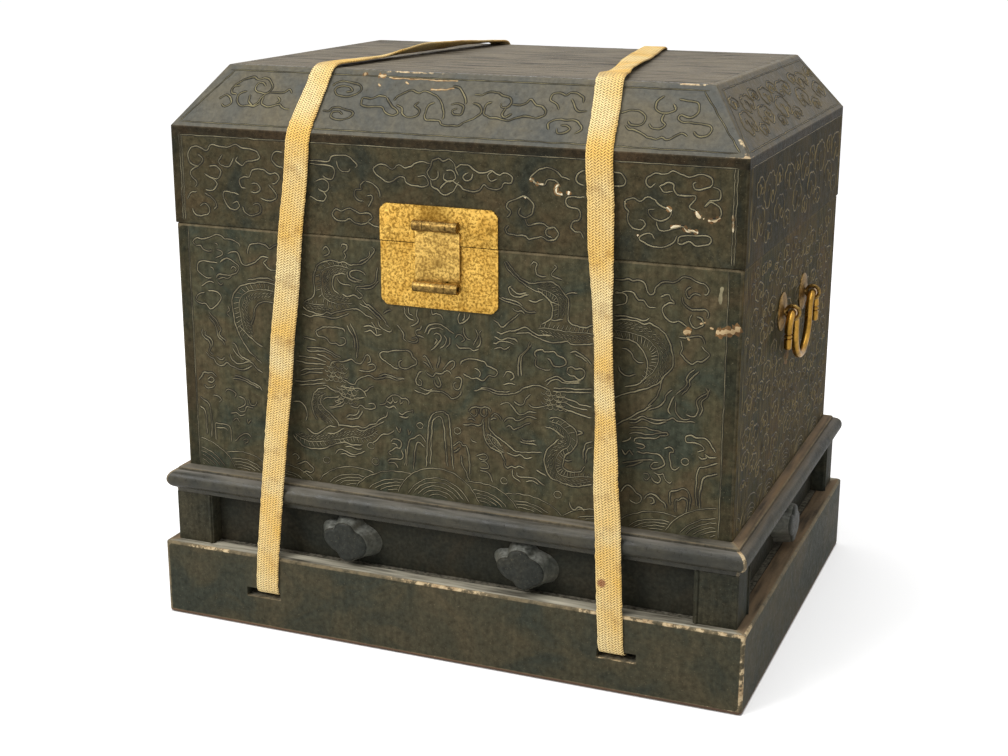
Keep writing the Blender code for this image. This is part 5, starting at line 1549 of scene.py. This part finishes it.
# Places across the chest, then width, roll and lift by stage; a stage counts the path's corners from the
# front slot (1) over plinth (2), moulding (3), shoulder (4) and lid edges (5, 6) down to the rear slot (10)
STRAPS = {
    "left": {
        "x": (-0.1795, -0.1795, -0.1766, -0.1706, -0.1390, -0.1330, -0.0890, -0.1050, -0.1706, -0.1766,
              -0.1795, -0.1795),
        "width": ((0, 23.5), (3, 23.5), (3.6, 24), (4, 24), (5, 21.5), (6, 22), (11, 23)),
        "roll": ((0, 0), (3, 0), (3.5, -6), (4, 0), (4.9, 0), (5.1, 2), (5.24, 5), (5.36, 20), (5.5, 27),
                 (5.66, 22), (5.85, 10), (6, 4), (6.2, 0), (11, 0)),
        "lift": ((0, 0), (4.7, 0.2), (5.0, 2.2), (5.25, 2.0), (5.5, 5.6), (5.7, 4.8), (6.0, 2.2), (6.3, 0.2),
                 (11, 0)),
    },
    "right": {
        "x": (0.1730, 0.1730, 0.1710, 0.1674, 0.1466, 0.1425, 0.0850, 0.0880, 0.1674, 0.1710, 0.1730, 0.1730),
        "width": ((0, 24), (3, 24), (3.5, 22.5), (4, 24.5), (5.05, 25), (5.2, 20), (5.6, 23), (11, 23)),
        "roll": ((0, 0), (3.1, 0), (3.2, 8), (3.35, 22), (3.5, 28), (3.62, 24), (3.7, 12), (3.78, 2),
                 (5.0, 0), (5.2, 8), (5.6, -4), (6, 0), (11, 0)),
        "lift": ((0, 0), (4.7, 0.4), (5.0, 3.6), (5.15, 2.2), (5.4, 2.6), (5.8, 2.0), (6.0, 1.8), (6.3, 0.2),
                 (11, 0)),
    },
}
FRONT_CORNERS = (
    (SLOT_END, SLOT_ENTRY), (PLINTH_Y, SLOT_ENTRY), (PLINTH_Y, PLINTH_TOP), (MOULDING_Y, NOSE_Z),
    (LID_Y, SHOULDER_Z), (TOP_Y, TOP_Z))
STRAP_CORNERS = [(-y, z) for y, z in FRONT_CORNERS] + list(reversed(FRONT_CORNERS))


def keyed(keys, stage):
    """Value at a stage, eased between the keys on either side."""
    for (start, first), (end, second) in zip(keys, keys[1:]):
        if stage <= end:
            share = (stage - start) / (end - start)
            return first + (second - first) * share * share * (3 - 2 * share)
    return keys[-1][1]


def heading(points, index):
    """The way a line runs at one of its points."""
    return points[min(index + 1, len(points) - 1)] - points[max(index - 1, 0)]


def facing_out(run):
    """Away from the chest, square to a run along the strap."""
    flat = run.yz.normalized()
    return Vector((0, -flat.y, flat.x))


def strap_line(strap):
    """Stages, middle points and outward directions along the whole strap, with its bends rounded."""
    gap = STRAP_THICKNESS / 2 + STRAP_REST
    corners = [Vector((x, *spot)) for x, spot in zip(strap["x"], STRAP_CORNERS)]
    faces = [facing_out(end - start) for start, end in zip(corners, corners[1:])]
    stages, points = [], []
    for index, (start, end) in enumerate(zip(corners, corners[1:])):
        before, after = faces[max(index - 1, 0)], faces[min(index + 1, len(faces) - 1)]
        first = start + (before + faces[index]) * gap / (1 + before.dot(faces[index]))
        second = end + (after + faces[index]) * gap / (1 + after.dot(faces[index]))
        count = max(3, round((second - first).length / STRAP_STEP))
        for step in range(count):
            stages.append(index + step / count)
            points.append(first.lerp(second, step / count))
    stages.append(len(corners) - 1.0)
    points.append(corners[-1] + faces[-1] * gap)
    for _ in range(BEND_ROUNDS):
        middles = [(before + 2 * here + after) / 4
                   for before, here, after in zip(points, points[1:], points[2:])]
        points = [points[0], *middles, points[-1]]
    outward = [facing_out(heading(points, index)) for index in range(len(points))]
    lifted = [point + out * keyed(strap["lift"], stage) * MM
              for point, out, stage in zip(points, outward, stages)]
    return stages, lifted, outward


def strap_piece(name, strap, low, high, seed):
    """A length of webbing between two stages, thin, with ragged selvedges and UVs in millimetres."""
    stages, points, outward = strap_line(strap)
    distance = [0.0]
    for start, end in zip(points, points[1:]):
        distance.append(distance[-1] + (end - start).length)
    first, last = (max(index for index, stage in enumerate(stages) if stage <= end) for end in (low, high))
    rows = range(first, last + 1)
    ring = [(share, 1) for share in HALF_SECTION] + [(share, -1) for share in reversed(HALF_SECTION)]
    columns = len(ring)
    bm = wrapped_grid(columns, len(rows))
    uv = bm.loops.layers.uv.new("UVMap")
    places = []
    for vert in bm.verts:
        row, column = divmod(vert.index, columns + 1)
        here = rows[row]
        share, face = ring[column % columns]
        run = heading(points, here).normalized()
        side = (Vector((1, 0, 0)) - run * run.x).normalized()
        roll = math.radians(keyed(strap["roll"], stages[here]))
        across = side * math.cos(roll) + outward[here] * math.sin(roll)
        out = outward[here] * math.cos(roll) - side * math.sin(roll)
        half_width = keyed(strap["width"], stages[here]) * MM / 2
        run_length = distance[here] / MM
        thick = STRAP_THICKNESS / 2
        aside = share * half_width + noise.noise(Vector((run_length * WAVER_PACE, seed + 7, 0))) * WAVER
        if abs(share) > SELVEDGE:
            aside += noise.noise(Vector((run_length * FRAY_PACE, seed, share))) * FRAY
            thick *= EDGE_SHARE if abs(share) == 1 else SELVEDGE_SHARE
        vert.co = points[here] + across * aside + out * thick * face
        places.append((share * half_width / MM, run_length))
    for face in bm.faces:
        for loop in face.loops:
            loop[uv].uv = places[loop.vert.index]
    close_tube(bm, STRAP_WELD)
    return new_piece(name, bm, [WEBBING], None, smooth_degrees=SOFT_DEGREES)


def build_straps():
    for seed, (side, strap) in enumerate(STRAPS.items()):
        middle = sum(strap["x"][3:5]) / 2
        above, below = RIM_Z + BLEND_REACH, RIM_Z - BLEND_REACH
        front = strap_piece(f"strap_{side}_front_webbing", strap, 0, SEAM_STAGE, seed)
        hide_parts(f"strap_{side}_front_drop", f"strap_{side}_over_lid")
        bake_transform(front, "lid", f"strap_{side}", Vector((middle, -LID_Y, above)),
                 Vector((middle, -LID_Y, below)))
        rear = strap_piece(f"strap_{side}_rear_webbing", strap, SEAM_STAGE, LAST_STAGE, seed)
        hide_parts(f"strap_{side}_rear_drop")
        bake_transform(rear, "chest", "lid", Vector((middle, LID_Y, below)), Vector((middle, LID_Y, above)))


build_straps()


# Cloud bosses of the waist: lumpy discs with soft rims and flanks that flare to a wider foot

# Rings from the middle of the face to the foot: (share of the outline, share of the depth)
BOSS_FACE = ((0.0, 1.0), (0.5, 1.0), (0.80, 0.985), (0.92, 0.955), (0.98, 0.91), (1.0, 0.85))
BOSS_FLANK = (0.72, 0.58, 0.44, 0.30, 0.15, 0.0)
BOSS_RINGS = BOSS_FACE + tuple((1.0, rise) for rise in BOSS_FLANK)
BOSS_RIM = len(BOSS_FACE) - 1
BOSS_SPREAD, BOSS_FLARE = Vector((0.44, 0.22)), 1.3
BOSS_STEP = 1.6
BOSS_TILT, BOSS_TURNS = 7, 2.1
BOSS_DENT, DENT_PACE = 0.0006, 90

# Outline of a boss's face, drawn about its middle: lobes on top, left, right and below
BOSS_LINE = ((9, 12.5), (5.5, 17), (0, 19), (-6, 18.5), (-10.5, 15.5), (-12, 12), (-17, 11.5), (-21.5, 8.5),
             (-22.5, 3), (-20, -3), (-14.5, -8), (-9, -11), (-6, -15.5), (-1, -18.5), (5, -18), (9.5, -15),
             (16, -12.5), (20, -7.5), (21, 0), (17, 7.5), (9, 12.5))


def build_bosses():
    names = sorted(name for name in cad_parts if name.startswith("cloud_boss"))
    for seed, name in enumerate(names):
        low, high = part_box(name)
        side = next(word for word in SIDES if f"cloud_boss_{word}" in name)
        outward, along = SIDES[side]
        depth = abs((high - low).dot(outward))
        foot = (low + high) / 2 - outward * depth / 2
        turn = Matrix.Rotation(math.radians(BOSS_TILT * math.sin(BOSS_TURNS * seed)), 2)
        outline = [turn @ point * MM for point in smooth(BOSS_LINE, BOSS_STEP)[:-1]]
        columns = len(outline)
        bm = wrapped_grid(columns, len(BOSS_RINGS))
        for vert in bm.verts:
            row, column = divmod(vert.index, columns + 1)
            radius, rise = BOSS_RINGS[row]
            spread = Vector((1, 1)) + BOSS_SPREAD * (1 - rise) ** BOSS_FLARE
            spot = outline[column % columns] * spread * radius
            dent = BOSS_DENT * noise.noise(Vector((spot.x * DENT_PACE, spot.y * DENT_PACE, seed)))
            out = outward * (depth * rise + dent * radius)
            vert.co = foot + out + along * spot.x + Vector((0, 0, spot.y))
        # The face takes the dark lacquer and the flank the lighter one, a painted highlight
        for face in bm.faces:
            face.material_index = 1 if face.index // columns >= BOSS_RIM else 0
        close_tube(bm)
        new_piece(f"{name}_carved", bm, [BOSS_LACQUER, FLANK_SHEEN_LACQUER], "chest", [name],
                  SOFT_DEGREES)


build_bosses()


# Brass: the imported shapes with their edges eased, and the handles' rods

LOCK_PARTS = {"lock_plate_upper": ("lid", PLATE_BRASS), "lock_plate_lower": ("chest", PLATE_BRASS),
              "hasp_flap": ("hasp", FLAP_BRASS)}
LOCK_EASE, LOCK_DEGREES = 0.0006, 25
EYE_EASE = 0.0003
SHARP_DEGREES = 50
ROSETTE_DEPTH = 0.0035
BARREL_MARGIN = 0.0006

# The lock plate's corner notches: radius, how far it is found from, and how deep shoulders and cusp go
NOTCH, NOTCH_NEAR = 0.006, 0.0002
SHOULDER_DEPTH, CUSP_DEPTH = 0.0018, 0.0009

# The turned end of a handle's rod: its length and its grooves below the eye
FINIAL_LENGTH = 0.0315
GROOVES = (0.0208, 0.0172)
GROOVE_WIDTH = 0.0016
GROOVE_SHARE = 0.62
TIP_HEIGHT = 0.0014
BAIL_STEPS = 16
BAIL_ROUNDS = 4


def on_barrel(spot):
    away = min(math.hypot(spot.y - PIN.y, spot.z - z) for z in (PIN.z, LATCH_Z))
    return away < BARREL_RADIUS + BARREL_MARGIN


def on_eye(spot):
    return abs(spot.x) > BODY_X + ROSETTE_DEPTH


def eased(name, body, finishes, takes_second, reach, smooth_degrees):
    """A copy of a packed brass part with its edges eased; some of its faces take the second finish."""
    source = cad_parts[name]
    bm = bmesh.new()
    bm.from_mesh(source.data)
    bm.transform(source.matrix_world)
    bmesh.ops.remove_doubles(bm, verts=bm.verts, dist=WELD)
    bmesh.ops.dissolve_limit(bm, angle_limit=math.radians(1), verts=bm.verts, edges=bm.edges)
    if name.startswith("lock_plate"):
        cusp_corners(bm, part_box(name))
    limit = math.radians(SHARP_DEGREES)
    sharp = [edge for edge in bm.edges if edge.is_manifold and edge.calc_face_angle() > limit]
    ease(bm, sharp, reach, 2, clamp=True)
    for face in bm.faces:
        face.material_index = int(takes_second(face.calc_center_median()))
    new_piece(f"{name}_eased", bm, finishes, body, [name], smooth_degrees)


def cusp_corners(bm, box):
    """Turn the hollow corner notches into two rounded shoulders that meet in a small cusp."""
    low, high = box
    for vert in bm.verts:
        for x in (low.x, high.x):
            for z in (low.z, high.z):
                out = Vector((vert.co.x - x, vert.co.z - z))
                if abs(out.length - NOTCH) > NOTCH_NEAR:
                    continue
                angle = math.atan2(abs(out.y), abs(out.x))
                reach = NOTCH - SHOULDER_DEPTH * math.sin(2 * angle) - CUSP_DEPTH * abs(math.sin(4 * angle))
                vert.co.x, vert.co.z = x + out.x / NOTCH * reach, z + out.y / NOTCH * reach


def build_bail(side):
    """The bent rod: a turned end, a tight arch through the eye and half of the bow, then all mirrored."""
    name = f"handle_{side}_bail"
    low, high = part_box(name)
    rod = (high.x - low.x) / 2
    eye_y = sum(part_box(f"handle_{side}_rear_eye"), Vector()).y / 2
    eye_z, arch = high.z - rod, high.y - rod - eye_y
    end_y, leg_y, bottom = eye_y + arch, eye_y - arch, low.z + rod - eye_z
    half = [(end_y, -FINIAL_LENGTH, GROOVE_SHARE), (end_y, TIP_HEIGHT - FINIAL_LENGTH, 1.0)]
    for groove in GROOVES:
        for shift, share in ((-0.5, 1.0), (-0.25, GROOVE_SHARE), (0.25, GROOVE_SHARE), (0.5, 1.0)):
            half.append((end_y, shift * GROOVE_WIDTH - groove, share))
    turns = [math.pi * step / BAIL_STEPS for step in range(BAIL_STEPS + 1)]
    half += [(eye_y + arch * math.cos(turn), arch * (math.sin(turn) - 1), 1.0) for turn in turns]
    half += [(leg_y * math.cos(turn / 2), bottom + leg_y * (1 - math.sin(turn / 2)), 1.0) for turn in turns]
    points = half + [(-y, z, share) for y, z, share in reversed(half[:-1])]
    mesh = cord_mesh(name, [[((y, z, 0), rod * share) for y, z, share in points]], BAIL_ROUNDS)
    upright = Matrix(((0, 0, 1), (1, 0, 0), (0, 1, 0))).to_4x4()
    mesh.transform(Matrix.Translation(((low.x + high.x) / 2, 0, eye_z)) @ upright)
    place_piece(f"{name}_bent", mesh, [ROD_BRASS], f"handle_{side}", [name], SOFT_DEGREES)


def build_brass():
    for name, (body, finish) in LOCK_PARTS.items():
        eased(name, body, [finish, OLD_BRASS], on_barrel, LOCK_EASE, LOCK_DEGREES)
    for side in ("left", "right"):
        build_bail(side)
        for place in ("front", "rear"):
            eased(f"handle_{side}_{place}_eye", "chest", [ROSETTE_BRASS, OLD_BRASS], on_eye, EYE_EASE,
                  SOFT_DEGREES)


build_brass()


# Chips and scratches where the coat is lost: each (radius, points)

MARK_STEP = 0.6
SKIRT_CHIPS = (
    (0.9, ((84, 459), (91, 455), (97, 454))), (1.2, ((111, 456), (108, 452), (109, 448), (114, 447))),
    (1.4, ((119, 447), (120, 450))), (0.9, ((78, 443), (81, 442))), (0.9, ((170, 442), (170, 445))),
    (1.3, ((206, 442), (210, 439))), (1.4, ((232, 441), (233, 437), (236, 435))),
    (0.8, ((238, 435), (239, 435))), (1.2, ((242, 434), (247, 434), (252, 437))),
    (1.2, ((210, 425), (214, 427), (219, 427))), (1.2, ((221, 427), (225, 424), (230, 424), (234, 423))),
    (0.8, ((182, 416), (182, 418))), (0.6, ((263, 425), (263, 433), (263, 441))))
SLOPE_CHIPS = (
    (2.0, ((-91, 65), (-90, 62))), (1.4, ((-77, 62.5), (-69, 63))), (0.8, ((-75, 54), (-72, 52))),
    (0.8, ((-48, 58), (-45, 55))), (0.7, ((-22, 51), (-12, 51), (0, 53))),
    (0.5, ((-66, 61), (-50, 61), (-35, 61), (-20, 60.5), (2, 60.5))))
BODY_CHIPS = (
    (2.6, ((252, 340), (257, 339.5), (262, 341), (268, 342), (273, 346))),
    (2.0, ((224, 336), (228, 338), (231, 337))), (0.9, ((227, 333), (230, 330))),
    (0.8, ((247, 343), (250, 342))), (0.7, ((238, 345), (243, 347))))
UNDER_HANDLE_RUBS = (
    (4.0, ((-20, 279), (-20, 268))), (4.0, ((-14, 281), (-14, 266))), (4.0, ((-8, 279), (-8, 270))))
FRONT_RUBS = ((1.3, ((255, 364), (256, 379))),)


def strokes_of(marks):
    return [(smooth(points, MARK_STEP), radius) for radius, points in marks]


def draw_chips(name, place, body, finish, marks):
    """Pale marks on a panel with a rim of rubbed brown."""
    strokes = strokes_of(marks)
    relief(name, place, strokes, finish, body, flatten=0.3, ragged=(0.4, 0.35))
    relief(f"{name}_rims", place, strokes, RUBBED, body, swell=1.5, flatten=0.1, ragged=(0.9, 0.4))


def build_marks():
    body_front, lid_front = panel("front", BODY_HALF, 0), panel("front", LID_HALF, 0)
    slope_front = panel("front", LID_HALF, SHOULDER_Z, HIP_INSET, HIP_RISE)
    draw_chips("lid_front_skirt_chips", lid_front, "lid", CHIPPED, SKIRT_CHIPS)
    draw_chips("lid_front_slope_chips", slope_front, "lid", SCUFFED, SLOPE_CHIPS)
    draw_chips("body_front_chips", body_front, "chest", SCUFFED, BODY_CHIPS)
    for side, marks, finish in (("right", UNDER_HANDLE_RUBS, RUBBED), ("front", FRONT_RUBS, THREAD)):
        relief(f"{side}_rub", panel(side, BODY_HALF, 0), strokes_of(marks), finish, "chest", flatten=0.04,
               ragged=(0.6, 0.3))


build_marks()


# Finishes of the CAD nodes that stay

def finish_node(name, finish):
    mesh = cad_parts[name].data
    mesh.materials.clear()
    mesh.materials.append(finish)


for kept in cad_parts:
    if kept.startswith("frieze") or kept == "base_deck":
        finish_node(kept, DARK_LACQUER)
    elif kept == "body_floor":
        finish_node(kept, WOOD)
    elif kept.startswith(("hasp_pin", "hinge")):
        finish_node(kept, OLD_BRASS)


# Stage, light and camera

LENS = 57.789
SENSOR = 36.0
CAMERA_PLACE = Vector((0.57919, -1.4851, 0.68025))
AZIMUTH, ELEVATION, ROLL = (math.radians(angle) for angle in (21.9722, 16.1713, 0.1621))
FLOOR_HALF = 14.0

# How strongly the floor glows for the camera, near the chest and from further away, and at which distances
GLOW_NEAR, GLOW_FAR = 0.38, 0.55
GLOW_START, GLOW_END = 0.4, 0.9

# Softboxes: (place, target, size, watts)
SOFTBOXES = {
    "key_softbox": ((-1.5, -2.2, 2.2), (0, 0, 0.25), 1.5, 62),
    "top_softbox": ((0.1, -0.2, 2.3), (0, 0, 0.3), 1.6, 26),
}


def build_stage():
    """White paper; the camera sees it brighter away from the chest, so that it meets the background.

    Under the chest it adds no light of its own, so that the strap slots stay dark from low down.
    """
    bm = bmesh.new()
    bmesh.ops.create_grid(bm, x_segments=1, y_segments=1, size=FLOOR_HALF)
    mesh = bpy.data.meshes.new("studio_floor")
    bm.to_mesh(mesh)
    bm.free()
    material, tree, place = start_finish("white_paper_floor")
    spot = place.outputs["Object"]
    path = node(tree, "ShaderNodeLightPath")
    away = vectors(tree, "DISTANCE", spot, (0, 0, 0))
    lit = ramp(tree, away, GLOW_START, GLOW_END, GLOW_NEAR, GLOW_FAR)
    shares = vectors(tree, "ABSOLUTE", vectors(tree, "DIVIDE", spot, (PLINTH_X, PLINTH_Y, 1)))
    axes = split(tree, shares)
    reach = maths(tree, "MAXIMUM", axes.outputs["X"], axes.outputs["Y"])
    clear = maths(tree, "GREATER_THAN", reach, 1.0)
    shown = maths(tree, "MULTIPLY", path.outputs["Is Camera Ray"], clear)
    glow = maths(tree, "MULTIPLY", shown, lit)
    end_finish(tree, {"Base Color": colour("#F2F2F2"), "Roughness": 0.95, "Emission Color": (1, 1, 1, 1),
                      "Emission Strength": glow})
    mesh.materials.append(material)
    floor = bpy.data.objects.new("studio_floor", mesh)
    bpy.context.scene.collection.objects.link(floor)


def area_light(name, place, target, size, power):
    light = bpy.data.lights.new(name, "AREA")
    light.shape = "RECTANGLE"
    light.size = light.size_y = size
    light.energy = power
    lamp = bpy.data.objects.new(name, light)
    lamp.location = place
    lamp.rotation_euler = (Vector(target) - Vector(place)).to_track_quat("-Z", "Y").to_euler()
    bpy.context.scene.collection.objects.link(lamp)


def build_light():
    """White surroundings at half strength, full for camera and reflections, and two softboxes."""
    world = bpy.data.worlds.new("studio")
    bpy.context.scene.world = world
    world.use_nodes = True
    tree = world.node_tree
    path = node(tree, "ShaderNodeLightPath")
    seen = path.outputs["Is Camera Ray"]
    for ray in ("Is Glossy Ray", "Is Transmission Ray"):
        seen = maths(tree, "MAXIMUM", seen, path.outputs[ray])
    strength = maths(tree, "MULTIPLY_ADD", seen, 0.5, 0.5)
    tree.links.new(strength.outputs[0], tree.nodes["Background"].inputs["Strength"])
    tree.nodes["Background"].inputs["Color"].default_value = (1, 1, 1, 1)
    for name, settings in SOFTBOXES.items():
        area_light(name, *settings)


def build_camera():
    back = Vector((math.sin(AZIMUTH) * math.cos(ELEVATION), -math.cos(AZIMUTH) * math.cos(ELEVATION),
                   math.sin(ELEVATION)))
    right = Vector((math.cos(AZIMUTH), math.sin(AZIMUTH), 0))
    up = back.cross(right)
    turned_right = math.cos(ROLL) * right + math.sin(ROLL) * up
    turned_up = math.cos(ROLL) * up - math.sin(ROLL) * right
    data = bpy.data.cameras.new("photo_view")
    data.lens = LENS
    data.sensor_width = SENSOR
    camera = bpy.data.objects.new("photo_view", data)
    axes = Matrix((turned_right, turned_up, back)).transposed().to_4x4()
    camera.matrix_world = Matrix.Translation(CAMERA_PLACE) @ axes
    bpy.context.scene.collection.objects.link(camera)
    bpy.context.scene.camera = camera


build_stage()
build_light()
build_camera()
bpy.context.scene.view_settings.view_transform = "Standard"
